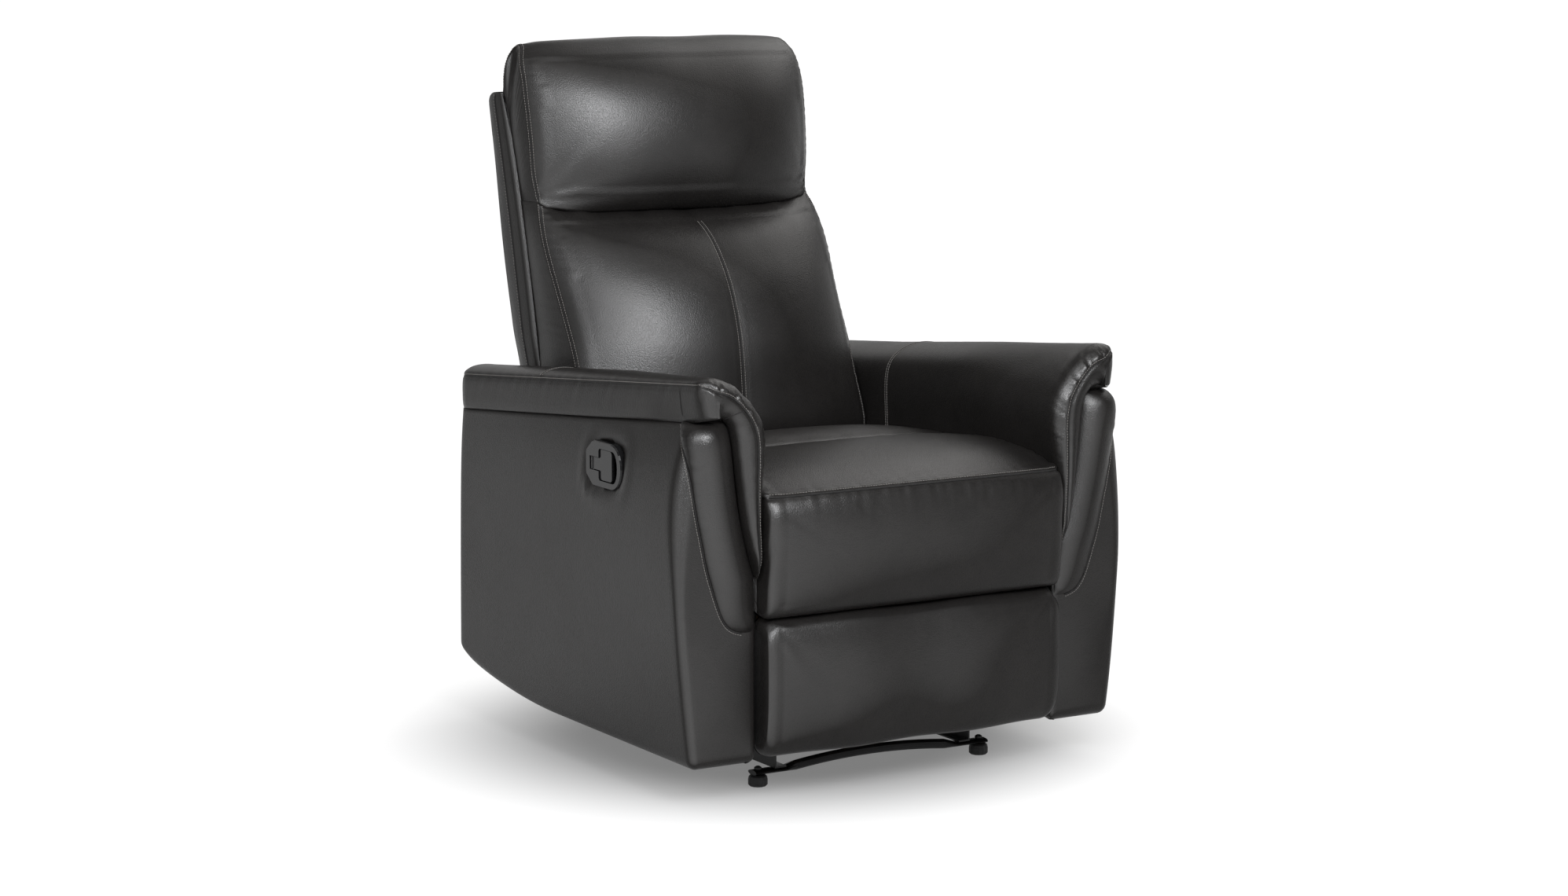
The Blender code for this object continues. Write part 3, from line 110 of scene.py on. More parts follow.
LAMP_COOL, LAMP_PALE, LAMP_WARM = (0.97, 0.98, 1.0), (0.985, 0.99, 1.0), (1.0, 0.985, 0.965)
LAMPS = [
    ("key", (-0.75, -3.1, 2.25), (0, 0.1, 0.80), (1.15, 1.00), 64.0, LAMP_COOL),
    ("front_wash", (-0.9, -2.7, 2.75), (0, 0.1, 0.80), (2.8, 1.5), 48.0, LAMP_PALE),
    ("left_wash", (-2.55, -1.9, 2.05), (-0.2, -0.2, 0.75), (1.2, 1.4), 30.0, LAMP_COOL),
    ("rear_wash", (2.05, 0.65, 2.95), (0, 0.1, 0.75), (2.9, 2.5), 62.0, LAMP_WARM),
    ("back_wash", (0.4, 3.4, 2.2), (0, 0.0, 0.70), (3.0, 1.2), 8.5, LAMP_WARM),
    ("overhead", (-0.3, 0.0, 3.0), (0, 0.1, 0.6), (2.4, 2.0), 9.0, LAMP_WARM)]

ARM_CROWN_TABLE = np.array([
    (0, 0), (0.1, 0.25), (0.2, 0.46), (0.38, 0.76), (0.56, 0.96), (0.65, 1), (0.79, 0.86), (0.89, 0.46),
    (0.94, 0.1), (1, -0.45)])
PAD_ROWS = np.array([
    (0, -1, 0, -1), (0, -0.75, 0, -0.75), (0, -0.46, 0, -0.46), (-0.07, -0.18, 0, -0.15), (-0.08, 0.10, 0, 0),
    (0.08, 0.62, 0.14, 0), (0.36, 0.92, 0.31, 0), (0.66, 1, 0.60, 0), (0.90, 0.92, 0.81, 0),
    (0.985, 0.76, 0.95, 0), (1.0, 0.60, 0.96, 0), (1.003, 0.36, 0.962, 0), (1.0, 0.15, 0.964, 0),
    (0.985, 0.0, 0.965, 0)])
PAD_FRONT_ROWS = np.array([
    (0.05, -0.99, -0.193, -1), (0.01, -0.77, 0.03, -0.77), (-0.03, -0.47, 0.20, -0.47),
    (-0.10, -0.22, 0.32, -0.19), (-0.06, -0.03, 0.42, -0.06), (0.17, 0.42, 0.60, 0.01),
    (0.50, 0.82, 0.73, 0.03), (0.80, 0.94, 0.84, 0.05), (0.955, 0.87, 0.93, 0.07), (1.01, 0.76, 0.985, 0.09),
    (1.02, 0.56, 0.99, 0.095), (1.02, 0.40, 0.993, 0.097), (1.015, 0.26, 0.996, 0.099), (1.005, 0.12, 1.0, 0.10)])
PAD_EDGE = 9
PANEL_ROWS = np.array([
    (0.02, 0.00, 0.12, 0.00, 0.1), (0.02, 0.10, 0.40, 0.03, 0.35), (0.02, 0.20, 0.56, 0.11, 0.6),
    (0.03, 0.265, 0.665, 0.212, 0.8), (0.09, 0.33, 0.76, 0.32, 0.9), (0.18, 0.45, 0.835, 0.44, 0.95),
    (0.27, 0.60, 0.93, 0.60, 1), (0.33, 0.76, 1.01, 0.77, 1.1), (0.38, 0.896, 1.09, 0.90, 1.2),
    (0.42, 0.955, 1.14, 0.955, 1.2), (0.46, 0.995, 1.19, 0.995, 1.15)])
SEAT_ROWS = np.array([
    (0.0956, 0.00, 0.0956, 0.00), (0.046, 0.00, 0.033, 0.00), (0.027, 0.24, -0.006, 0.24),
    (0.023, 0.50, -0.017, 0.50), (0.027, 0.74, -0.012, 0.74), (0.048, 0.825, 0.008, 0.84),
    (0.166, 0.900, 0.130, 0.955), (0.274, 0.925, 0.260, 1.00), (0.380, 0.935, 0.385, 1.015),
    (0.500, 0.915, 0.505, 0.995), (0.555, 0.895, 0.556, 0.955), (0.583, 0.866, 0.583, 0.910),
    (0.611, 0.882, 0.610, 0.950), (0.714, 0.876, 0.718, 0.985), (0.890, 0.820, 0.870, 0.945),
    (0.978, 0.740, 0.968, 0.830), (1, 0.560, 1, 0.560)])
SEAT_SEAM, SEAT_CHANNEL = 5, 11
LUMBAR_ROWS = np.array([
    (0.590, 0.000, 0.750, 0.000), (0.640, 0.080, 0.890, 0.080), (0.615, 0.190, 0.930, 0.205),
    (0.565, 0.300, 0.955, 0.320), (0.527, 0.400, 0.978, 0.445), (0.461, 0.505, 0.959, 0.575),
    (0.386, 0.640, 0.900, 0.695), (0.321, 0.775, 0.805, 0.790), (0.255, 0.888, 0.680, 0.872),
    (0.210, 0.960, 0.510, 0.930), (0.185, 1.000, 0.380, 0.955)])
HEAD_ROWS = np.array([
    (0.185, 0.000, 0.380, -0.068), (0.170, 0.045, 0.455, -0.020), (0.170, 0.150, 0.540, 0.085),
    (0.195, 0.320, 0.630, 0.250), (0.212, 0.500, 0.678, 0.430), (0.216, 0.650, 0.680, 0.600),
    (0.210, 0.745, 0.636, 0.745), (0.186, 0.840, 0.545, 0.868), (0.150, 0.905, 0.410, 0.957),
    (0.095, 0.952, 0.258, 0.998), (0.030, 0.948, 0.110, 0.985), (-0.010, 0.895, 0.010, 0.930),
    (-0.064, 0.790, -0.060, 0.800), (-0.095, 0.690, -0.095, 0.690)])
WAIST = np.array([
    (0, 1), (0.40, 1), (0.575, 0.985), (0.607, 0.968), (0.64, 0.98), (0.75, 1), (0.93, 1), (0.958, 0.985),
    (0.979, 0.955), (1, 0.92)])
FOOTREST_ROWS = np.array([
    (0.00, 0.010, 0.00, 0.010), (0.15, 0.000, 0.25, 0.000), (0.50, 0.045, 0.66, 0.040),
    (0.66, 0.180, 0.88, 0.170), (0.72, 0.420, 0.98, 0.420), (0.72, 0.700, 1.00, 0.700),
    (0.66, 0.900, 0.90, 0.905), (0.46, 0.975, 0.62, 0.985), (0.20, 1.000, 0.30, 1.000),
    (0.00, 0.995, 0.00, 0.995)])


# ---------------------------------------------------------------- curves and surfaces
def mix(a, b, share):
    return a + (b - a) * share


def ease(share):
    share = np.clip(share, 0, 1)
    return share * share * (3 - 2 * share)


def unit(vectors):
    return vectors / np.maximum(np.linalg.norm(vectors, axis=-1, keepdims=True), 1e-12)


def hump(distance, width):
    """One in the middle, and falls off smoothly on both sides."""
    return np.exp(-((distance / width) ** 2))


def fade(distance, reach):
    return np.exp(-distance / reach)


def end_set(distance, radius):
    """How far a rounded end has drawn in, at a distance from the end."""
    left = np.clip(radius - np.asarray(distance, float), 0, radius)
    return radius - np.sqrt(np.maximum(radius**2 - left**2, 0))


def spline_weights(knots, queries):
    """Matrix that turns values at the knots into a natural cubic spline's values at the queries."""
    knots, queries = np.asarray(knots, float), np.asarray(queries, float)
    n = len(knots)
    h = np.diff(knots)
    system, right = np.eye(n), np.zeros((n, n))
    for i in range(1, n - 1):
        system[i, i - 1:i + 2] = h[i - 1], 2 * (h[i - 1] + h[i]), h[i]
        right[i, i - 1:i + 2] = 6 / h[i - 1], -6 / h[i - 1] - 6 / h[i], 6 / h[i]
    second = np.linalg.solve(system, right)
    weights = np.zeros((len(queries), n))
    for row, q in enumerate(queries):
        i = int(np.clip(np.searchsorted(knots, q, side="right") - 1, 0, n - 2))
        a = (knots[i + 1] - q) / h[i]
        b = 1 - a
        weights[row, i] += a
        weights[row, i + 1] += b
        weights[row] += ((a**3 - a) * second[i] + (b**3 - b) * second[i + 1]) * h[i]**2 / 6
    return weights


def read_spline(table, x):
    x = np.atleast_1d(np.asarray(x, float))
    return (spline_weights(table[:, 0], x.ravel()) @ table[:, 1]).reshape(x.shape)


def refining(grid, step, breaks=(), power=0.5):
    """Weights that refine the first axis of a grid evenly, crisp at the breaks, and the marks of the breaks."""
    grid = np.asarray(grid, float)
    n = len(grid)
    edges = [0, *breaks, n - 1]
    blocks, marks = [], [0]
    for first, last in zip(edges, edges[1:]):
        part = grid[first:last + 1].reshape(last + 1 - first, -1, grid.shape[-1])
        gaps = np.linalg.norm(np.diff(part, axis=0), axis=-1).mean(1)
        knots = np.concatenate([[0], np.cumsum(np.maximum(gaps, 1e-5)**power)])
        fine = np.linspace(0, knots[-1], 16 * len(knots))
        curve = np.einsum("ab,bcd->acd", spline_weights(knots, fine), part)
        run = np.concatenate([[0], np.cumsum(np.linalg.norm(np.diff(curve, axis=0), axis=-1).mean(1))])
        count = max(2, int(round(run[-1] / step)))
        places = np.interp(np.linspace(0, run[-1], count + 1), run, fine)
        block = np.zeros((count + 1, n))
        block[:, first:last + 1] = spline_weights(knots, places)
        blocks.append(block if not blocks else block[1:])
        marks.append(marks[-1] + count)
    return np.concatenate(blocks), marks


def refine(grid, axis, step, breaks=(), power=0.5):
    grid = np.moveaxis(np.asarray(grid, float), axis, 0)
    weights, marks = refining(grid, step, breaks, power)
    return np.moveaxis(np.tensordot(weights, grid, 1), 0, axis), marks


def normals_of(grid):
    du = np.gradient(grid, axis=0)
    dv = np.gradient(grid, axis=1)
    return unit(np.cross(du, dv))


def outward(grid, axis, sign, part=2):
    """Normals of a grid, turned so that they point along an axis at a place inside it."""
    normals = normals_of(grid)
    probe = normals[grid.shape[0] // part, grid.shape[1] // 2, axis]
    return -normals if probe * sign < 0 else normals


def run_length(path):
    return np.concatenate([[0], np.cumsum(np.linalg.norm(np.diff(path, axis=0), axis=1))])


def at_run(values, run, places):
    return np.stack([np.interp(places, run, values[:, k]) for k in range(3)], 1)


def sample(grid, us, vs):
    """Points of a grid at fractional indices."""
    us = np.clip(np.asarray(us, float), 0, grid.shape[0] - 1.000001)
    vs = np.clip(np.asarray(vs, float), 0, grid.shape[1] - 1.000001)
    i, j = us.astype(int), vs.astype(int)
    a, b = (us - i)[:, None], (vs - j)[:, None]
    return ((1 - a) * (1 - b) * grid[i, j] + a * (1 - b) * grid[i + 1, j]
            + (1 - a) * b * grid[i, j + 1] + a * b * grid[i + 1, j + 1])


def near_path(points, path):
    """Distance of every point to a path, and how far along the path the nearest place is."""
    flat = points.reshape(-1, 3)
    run = run_length(path)
    best, along = np.full(len(flat), 1e9), np.zeros(len(flat))
    a, d = path[:-1], np.diff(path, axis=0)
    length = np.maximum((d * d).sum(1), 1e-12)
    for start in range(0, len(flat), 4000):
        some = flat[start:start + 4000]
        rel = some[:, None] - a[None]
        t = np.clip((rel * d[None]).sum(-1) / length, 0, 1)
        gap = np.linalg.norm(rel - t[..., None] * d[None], axis=-1)
        k = gap.argmin(1)
        rows = np.arange(len(some))
        best[start:start + 4000] = gap[rows, k]
        along[start:start + 4000] = run[k] + t[rows, k] * np.sqrt(length[k])
    return best.reshape(points.shape[:-1]), along.reshape(points.shape[:-1])


def wobble(x, seed, scale):
    """A smooth irregular wave of x, about -1 to 1, with no repeat worth seeing."""
    r = np.random.RandomState(seed)
    total = np.zeros_like(np.asarray(x, float))
    for k in range(5):
        total += np.sin(2 * pi * x / (scale * r.uniform(0.6, 1.9)) + r.uniform(0, 2 * pi)) * r.uniform(0.25, 0.6)
    return total / 1.3


# ---------------------------------------------------------------- meshes
def new_object(name, data):
    piece = bpy.data.objects.new(name, data)
    bpy.context.scene.collection.objects.link(piece)
    return piece


def mesh_from(name, verts, faces, weld=0.00003):
    mesh = bpy.data.meshes.new(name)
    mesh.from_pydata([tuple(v) for v in np.asarray(verts, float)], [], faces)
    builder = bmesh.new()
    builder.from_mesh(mesh)
    if weld:
        bmesh.ops.remove_doubles(builder, verts=builder.verts, dist=weld)
    bmesh.ops.dissolve_degenerate(builder, edges=builder.edges, dist=1e-6)
    bmesh.ops.recalc_face_normals(builder, faces=builder.faces)
    builder.to_mesh(mesh)
    builder.free()
    mesh.shade_smooth()
    return new_object(name, mesh)


def grid_faces(nu, nv, start=0, closed=False):
    """Quads of a grid of points. A closed grid's second axis runs round."""
    faces = []
    for i in range(nu - 1):
        for j in range(nv if closed else nv - 1):
            here, ahead, k = start + i * nv, start + (i + 1) * nv, (j + 1) % nv
            faces.append((here + j, ahead + j, ahead + k, here + k))
    return faces


def rings(centres, one, two, radii, sides):
    """Circles of points round centres, in the planes of two directions."""
    turns = (np.arange(sides) * 2 * pi / sides)[None, :, None]
    return centres[:, None] + radii[:, None, None] * (np.cos(turns) * one[:, None] + np.sin(turns) * two[:, None])


def skin(name, grids):
    """One closed mesh from grids that share their borders."""
    verts, faces = [], []
    for grid in grids:
        faces += grid_faces(grid.shape[0], grid.shape[1], len(verts))
        verts.extend(grid.reshape(-1, 3))
    return mesh_from(name, verts, faces)


def tube(name, path, radius, sides=6):
    """A thin round strip along a path, with tapered ends."""
    tangent = unit(np.gradient(path, axis=0))
    helper = np.where(np.abs(tangent[:, 2:3]) < 0.9, np.array([[0, 0, 1.0]]), np.array([[1.0, 0, 0]]))
    one = unit(np.cross(tangent, helper))
    size = np.full(len(path), radius)
    size[0] = size[-1] = radius * 0.3
    points = rings(path, one, np.cross(tangent, one), size, sides)
    faces = grid_faces(len(path), sides, 0, True)
    faces += [tuple(range(sides))[::-1], tuple(range((len(path) - 1) * sides, len(path) * sides))]
    return mesh_from(name, points.reshape(-1, 3), faces, 0)


def offset_path(path, normals, side):
    """A path moved sideways along its surface."""
    return path + unit(np.cross(normals, unit(np.gradient(path, axis=0)))) * side


def stitch_mesh(name, rows, pitch, slant):
    """Short threads laid along paths. Each row is (path, normals)."""
    verts, faces = [], []
    for path, normals in rows:
        run = run_length(path)
        places = np.arange(pitch * 0.5, run[-1] - pitch * 0.4, pitch)
        spot, up = at_run(path, run, places), at_run(normals, run, places)
        ahead = unit(at_run(path, run, places + 0.001) - spot)
        up = unit(up - (up * ahead).sum(1, keepdims=True) * ahead)
        ahead = ahead * cos(slant) + np.cross(up, ahead) * sin(slant)
        across = np.cross(up, ahead)
        block = []
        for share, fat in STITCH_SHAPE:
            lift = STITCH_RADIUS * (0.55 - 2.2 * abs(share) ** 2)
            centre = spot + ahead * STITCH_LENGTH * share + up * lift
            block.append(rings(centre, across, up, np.full(len(spot), STITCH_RADIUS * fat), STITCH_SIDES))
        for k in range(len(spot)):
            start = len(verts) + k * len(STITCH_SHAPE) * STITCH_SIDES
            faces += grid_faces(len(STITCH_SHAPE), STITCH_SIDES, start, True)
        verts.extend(np.stack(block, 1).reshape(-1, 3))
    return mesh_from(name, verts, faces, 0)


def on_surface(piece, path, smooth=3):
    """The nearest places of a path on a mesh, and the mesh's normals there."""
    tree = BVHTree.FromObject(piece, bpy.context.evaluated_depsgraph_get())
    spots, ups = [], []
    for p in path:
        spot, normal, _, _ = tree.find_nearest(Vector(p))
        spots.append(spot)
        ups.append(normal)
    spots, ups = np.array(spots), np.array(ups)
    for _ in range(smooth):
        ups[1:-1] = (ups[:-2] + ups[1:-1] * 2 + ups[2:]) / 4
    return spots, unit(ups)


# ---------------------------------------------------------------- materials
class Nodes:
    """Short hand for building a shader."""

    def __init__(self, name, colour):
        self.material = bpy.data.materials.new(name)
        self.material.use_nodes = True
        self.material.diffuse_color = (*colour, 1)
        self.tree = self.material.node_tree
        self.shader = self.tree.nodes["Principled BSDF"]
        self.shader.inputs["Base Color"].default_value = (*colour, 1)
        self.place = self.add("ShaderNodeTexCoord").outputs["Object"]

    def add(self, kind, **values):
        node = self.tree.nodes.new(kind)
        for key, value in values.items():
            if hasattr(node, key):
                setattr(node, key, value)
            else:
                node.inputs[key.replace("_", " ")].default_value = value
        return node

    def link(self, out, into):
        self.tree.links.new(out, into)

    def noise(self, scale, detail=2.0, rough=0.5, vector=None):
        node = self.add("ShaderNodeTexNoise", Scale=scale, Detail=detail, Roughness=rough)
        self.link(vector or self.place, node.inputs["Vector"])
        return node.outputs["Fac"]

    def cells(self, scale, vector):
        node = self.add("ShaderNodeTexVoronoi", feature="F1", Scale=scale, Randomness=1.0)
        self.link(vector, node.inputs["Vector"])
        return node.outputs["Distance"]

    def scaled(self, scale):
        node = self.add("ShaderNodeMapping")
        node.inputs["Scale"].default_value = scale
        self.link(self.place, node.inputs["Vector"])
        return node.outputs["Vector"]

    def warped(self, scale, amount):
        node = self.add("ShaderNodeTexNoise", Scale=scale, Detail=1.0)
        self.link(self.place, node.inputs["Vector"])
        step = self.add("ShaderNodeVectorMath", operation="SCALE")
        self.link(node.outputs["Color"], step.inputs[0])
        step.inputs["Scale"].default_value = amount
        total = self.add("ShaderNodeVectorMath", operation="ADD")
        self.link(self.place, total.inputs[0])
        self.link(step.outputs["Vector"], total.inputs[1])
        return total.outputs["Vector"]

    def remap(self, value, low, high, to_low, to_high):
        node = self.add("ShaderNodeMapRange")
        self.link(value, node.inputs["Value"])
        for key, number in (("From Min", low), ("From Max", high), ("To Min", to_low), ("To Max", to_high)):
            node.inputs[key].default_value = number
        return node.outputs["Result"]

    def math(self, operation, a, b):
        node = self.add("ShaderNodeMath", operation=operation)
        for i, value in enumerate((a, b)):
            if isinstance(value, (int, float)):
                node.inputs[i].default_value = value
            else:
                self.link(value, node.inputs[i])
        return node.outputs["Value"]

    def blend(self, share, one, two):
        node = self.add("ShaderNodeMix", data_type="RGBA")
        self.link(share, node.inputs["Factor"])
        colours = [next(s for s in node.inputs if s.name == name and s.type == "RGBA") for name in "AB"]
        for socket, value in zip(colours, (one, two)):
            if isinstance(value, tuple):
                socket.default_value = (*value, 1)
            else:
                self.link(value, socket)
        return [s for s in node.outputs if s.type == "RGBA"][0]

    def bump(self, height, strength, distance, before=None):
        node = self.add("ShaderNodeBump", Strength=strength, Distance=distance)
        self.link(height, node.inputs["Height"])
        if before is not None:
            self.link(before, node.inputs["Normal"])
        return node.outputs["Normal"]

    def finish(self, colour, roughness, normal, **fixed):
        for key, out in (("Base Color", colour), ("Roughness", roughness), ("Normal", normal)):
            self.link(out, self.shader.inputs[key])
        for key, value in fixed.items():
            self.shader.inputs[key.replace("_", " ")].default_value = value
        return self.material


def leather():
    """Pebbled hide: cells of two sizes, fine creases, broad patches of tone and wear, and painted shade that darkens
    the hollows between the cells.
    """
    dark, light, rough = (0.0115, 0.0107, 0.0103), (0.0175, 0.0162, 0.0155), 0.335
    n = Nodes("cover_leather", dark)
    warp = n.warped(200.0, 0.0012)
    patches = n.noise(9.0, 3.0, 0.55)
    cloud = n.noise(38.0, 4.0, 0.6)
    pebble = n.math("ADD", n.math("MULTIPLY", n.cells(520.0, warp), 0.62),
                    n.math("MULTIPLY", n.cells(980.0, warp), 0.38))
    tone = n.math("ADD", n.math("MULTIPLY", patches, 0.65), n.math("MULTIPLY", cloud, 0.35))
    colour = n.blend(n.remap(tone, 0.32, 0.68, 0.0, 1.0), dark, light)
    # painted shade: the hollows between the grain's cells are painted darker
    colour = n.blend(n.remap(pebble, 0.42, 0.75, 0.0, 0.45), colour, tuple(c * 0.55 for c in dark))
    shine = n.math("ADD", n.math("MULTIPLY", patches, 0.55), n.math("MULTIPLY", pebble, 0.45))
    roughness = n.remap(shine, 0.25, 0.75, rough - 0.055, rough + 0.07)
    normal = n.bump(n.noise(95.0, 5.0, 0.62), 0.035, 0.0012)
    normal = n.bump(n.math("SUBTRACT", 1.0, pebble), 0.80, 0.00045, normal)
    facing = n.add("ShaderNodeLayerWeight", Blend=0.5).outputs["Facing"]
    n.link(n.remap(facing, 0.04, 0.24, 0.84, 0.13), n.shader.inputs["Specular IOR Level"])
    return n.finish(colour, roughness, normal)


def speckled(name, base, tones, tone_noise, rough_noise, rough, bump_noise, bump, **fixed):
    """A plain material: one noise for its tone, one for its roughness and one for its relief."""
    n = Nodes(name, base)
    colour = n.blend(n.noise(*tone_noise), *tones)
    return n.finish(colour, n.remap(n.noise(*rough_noise), *rough), n.bump(n.noise(*bump_noise), *bump), **fixed)


def thread_material():
    n = Nodes("topstitch_thread", (0.19, 0.178, 0.167))
    twist = n.add("ShaderNodeTexWave", Scale=900.0, Distortion=2.0)
    n.link(n.place, twist.inputs["Vector"])
    colour = n.blend(n.noise(700.0, 2.0), (0.10, 0.094, 0.088), (0.21, 0.198, 0.187))
    return n.finish(colour, n.remap(n.noise(400.0), 0.3, 0.7, 0.6, 0.8), n.bump(twist.outputs["Fac"], 0.3, 0.0002))


def enamel_material():
    """Black enamelled steel with a slight orange peel and dusty patches."""
    colour, rough = (0.010, 0.010, 0.0105), 0.36
    n = Nodes("mechanism_steel", colour)
    dust = n.remap(n.noise(24.0, 5.0, 0.65), 0.42, 0.8, 0.0, 0.5)
    tint = n.blend(dust, colour, tuple(c * 2.6 for c in colour))
    roughness = n.remap(n.noise(60.0, 4.0), 0.3, 0.7, rough - 0.07, rough + 0.10)
    return n.finish(tint, roughness, n.bump(n.noise(520.0, 2.0), 0.12, 0.0004), Metallic=0.35)


def wood_material():
    n = Nodes("frame_wood", (0.42, 0.27, 0.14))
    stretched = n.scaled((9.0, 60.0, 60.0))
    rings = n.add("ShaderNodeTexWave", Scale=1.4, Distortion=7.0, Detail=3.0)
    n.link(stretched, rings.inputs["Vector"])
    fibre = n.noise(9.0, 5.0, 0.7, n.scaled((8.0, 120.0, 120.0)))
    grain = n.math("ADD", n.math("MULTIPLY", rings.outputs["Fac"], 0.6), n.math("MULTIPLY", fibre, 0.4))
    colour = n.blend(grain, (0.30, 0.175, 0.085), (0.50, 0.335, 0.185))
    return n.finish(colour, n.remap(fibre, 0.2, 0.8, 0.5, 0.72), n.bump(grain, 0.25, 0.0005))


def spring_material():
    n = Nodes("spring_wire", (0.25, 0.25, 0.26))
    marks = n.noise(30.0, 5.0, 0.7, n.scaled((14.0, 2.0, 14.0)))
    colour = n.blend(marks, (0.15, 0.15, 0.16), (0.33, 0.33, 0.34))
    return n.finish(colour, n.remap(marks, 0.3, 0.7, 0.28, 0.5), n.bump(marks, 0.15, 0.0002), Metallic=0.9)


HIDE = leather()
THREAD = thread_material()
SHADOW = speckled("seam_shadow", (0.004, 0.0037, 0.0035), ((0.003, 0.0028, 0.0027), (0.008, 0.0072, 0.007)),
                  (300.0,), (200.0,), (0.3, 0.7, 0.7, 0.9), (900.0,), (0.2, 0.0003))
STEEL = enamel_material()
WOOD = wood_material()
WIRE = spring_material()
GLOSS = speckled("handle_plastic", (0.006, 0.006, 0.0065), ((0.005, 0.005, 0.0055), (0.010, 0.010, 0.0105)),
                 (30.0, 3.0), (70.0, 4.0, 0.6), (0.35, 0.75, 0.10, 0.24), (240.0, 3.0), (0.04, 0.0003),
                 Specular_IOR_Level=0.26)
GLIDE = speckled("glide_plastic", (0.02, 0.02, 0.021), ((0.012, 0.012, 0.0125), (0.028, 0.028, 0.029)),
                 (80.0, 4.0), (150.0,), (0.3, 0.7, 0.5, 0.68), (700.0, 3.0), (0.25, 0.0003))
SLOT_MATERIALS = {"cover_leather": HIDE, "mechanism_steel": STEEL, "frame_wood": WOOD, "spring_wire": WIRE,
                  "handle_plastic": GLOSS, "glide_plastic": GLIDE}


def place(piece, material, body):
    piece.data.materials.clear()
    piece.data.materials.append(material)
    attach(piece, body)
    return piece


def painted_seam_shade(name, spots, radius, body):
    """A dark tube of painted shade in a seam's groove."""
    return place(tube(name, spots, radius), SHADOW, body)


def stitched(name, piece, path, body, offsets=(0.0035,), pitch=0.0046, gap=0.0009, sink=0.0002, slant=0.0):
    """A dark tube of painted shade along a seam, with rows of stitches beside it, laid on a piece."""
    spots, ups = on_surface(piece, path)
    painted_seam_shade(f"{name}_shade_tube", spots + ups * sink, gap, body)
    rows = [on_surface(piece, offset_path(spots, ups, side)) for side in offsets]
    return place(stitch_mesh(f"{name}_stitches", rows, pitch, slant), THREAD, body)


# ---------------------------------------------------------------- camera, light and stage
def camera():
    data = bpy.data.cameras.new("camera")
    data.lens = 85.0
    data.sensor_width = 36.0
    data.clip_start, data.clip_end = 0.1, 100.0
    eye = new_object("camera", data)
    turn, down = radians(-31.002), radians(8.798)
    ahead = Vector((-sin(turn) * cos(down), cos(turn) * cos(down), -sin(down)))
    eye.location = (-2.9961, -5.0281, 1.3697)
    eye.rotation_mode = "QUATERNION"
    eye.rotation_quaternion = ahead.to_track_quat("-Z", "Y")
    bpy.context.scene.camera = eye


def soft_box(name, spot, aim, size, power, colour):
    data = bpy.data.lights.new(name, "AREA")
    data.shape = "RECTANGLE"
    data.size, data.size_y = size
    data.energy = power
    data.color = colour
    lamp = new_object(name, data)
    lamp.location = spot
    lamp.rotation_mode = "QUATERNION"
    lamp.rotation_quaternion = (Vector(aim) - Vector(spot)).to_track_quat("-Z", "Y")


class Tree:
    """Short hand for the node trees of the world and the floor."""

    def __init__(self, owner):
        owner.use_nodes = True
        self.tree = owner.node_tree
        self.tree.nodes.clear()

    def add(self, kind, operation=None):
        node = self.tree.nodes.new(kind)
        if operation:
            node.operation = operation
        return node

    def link(self, out, into):
        self.tree.links.new(out, into)

    def joined(self, kind, *outs, operation=None):
        """The first output, if any, of a node that takes the given outputs in order."""
        node = self.add(kind, operation)
        for k, out in enumerate(outs):
            self.link(out, node.inputs[k])
        return next(iter(node.outputs), None)

    def math(self, operation, one, two):
        return self.joined("ShaderNodeMath", one, two, operation=operation)

    def split(self, vector):
        node = self.add("ShaderNodeSeparateXYZ")
        self.link(vector, node.inputs[0])
        return node.outputs

    def ramp(self, value, *numbers):
        """A smooth step, given by From Min, From Max, To Min and To Max."""
        node = self.add("ShaderNodeMapRange")
        node.interpolation_type = "SMOOTHSTEP"
        self.link(value, node.inputs["Value"])
        for key, number in zip(("From Min", "From Max", "To Min", "To Max"), numbers):
            node.inputs[key].default_value = number
        return node.outputs["Result"]

    def diffuse(self, grey):
        node = self.add("ShaderNodeBsdfDiffuse")
        node.inputs["Color"].default_value = (grey, grey, grey, 1)
        return node.outputs[0]


def studio():
    scene = bpy.context.scene
    scene.view_settings.view_transform = "Standard"
    scene.world = bpy.data.worlds.new("studio")
    t = Tree(scene.world)
    way = t.split(t.add("ShaderNodeTexCoord").outputs["Generated"])
    height = t.ramp(way["Z"], 0.05, 0.50, 0.62, 0.34)
    room = t.ramp(way["Y"], -0.75, -0.20, 0.55, 1.0)
    glow = t.add("ShaderNodeBackground")
    glow.inputs["Color"].default_value = (1, 1, 1, 1)
    t.link(t.math("MULTIPLY", height, room), glow.inputs["Strength"])
    t.joined("ShaderNodeOutputWorld", glow.outputs[0])
    for lamp in LAMPS:
        soft_box(*lamp)


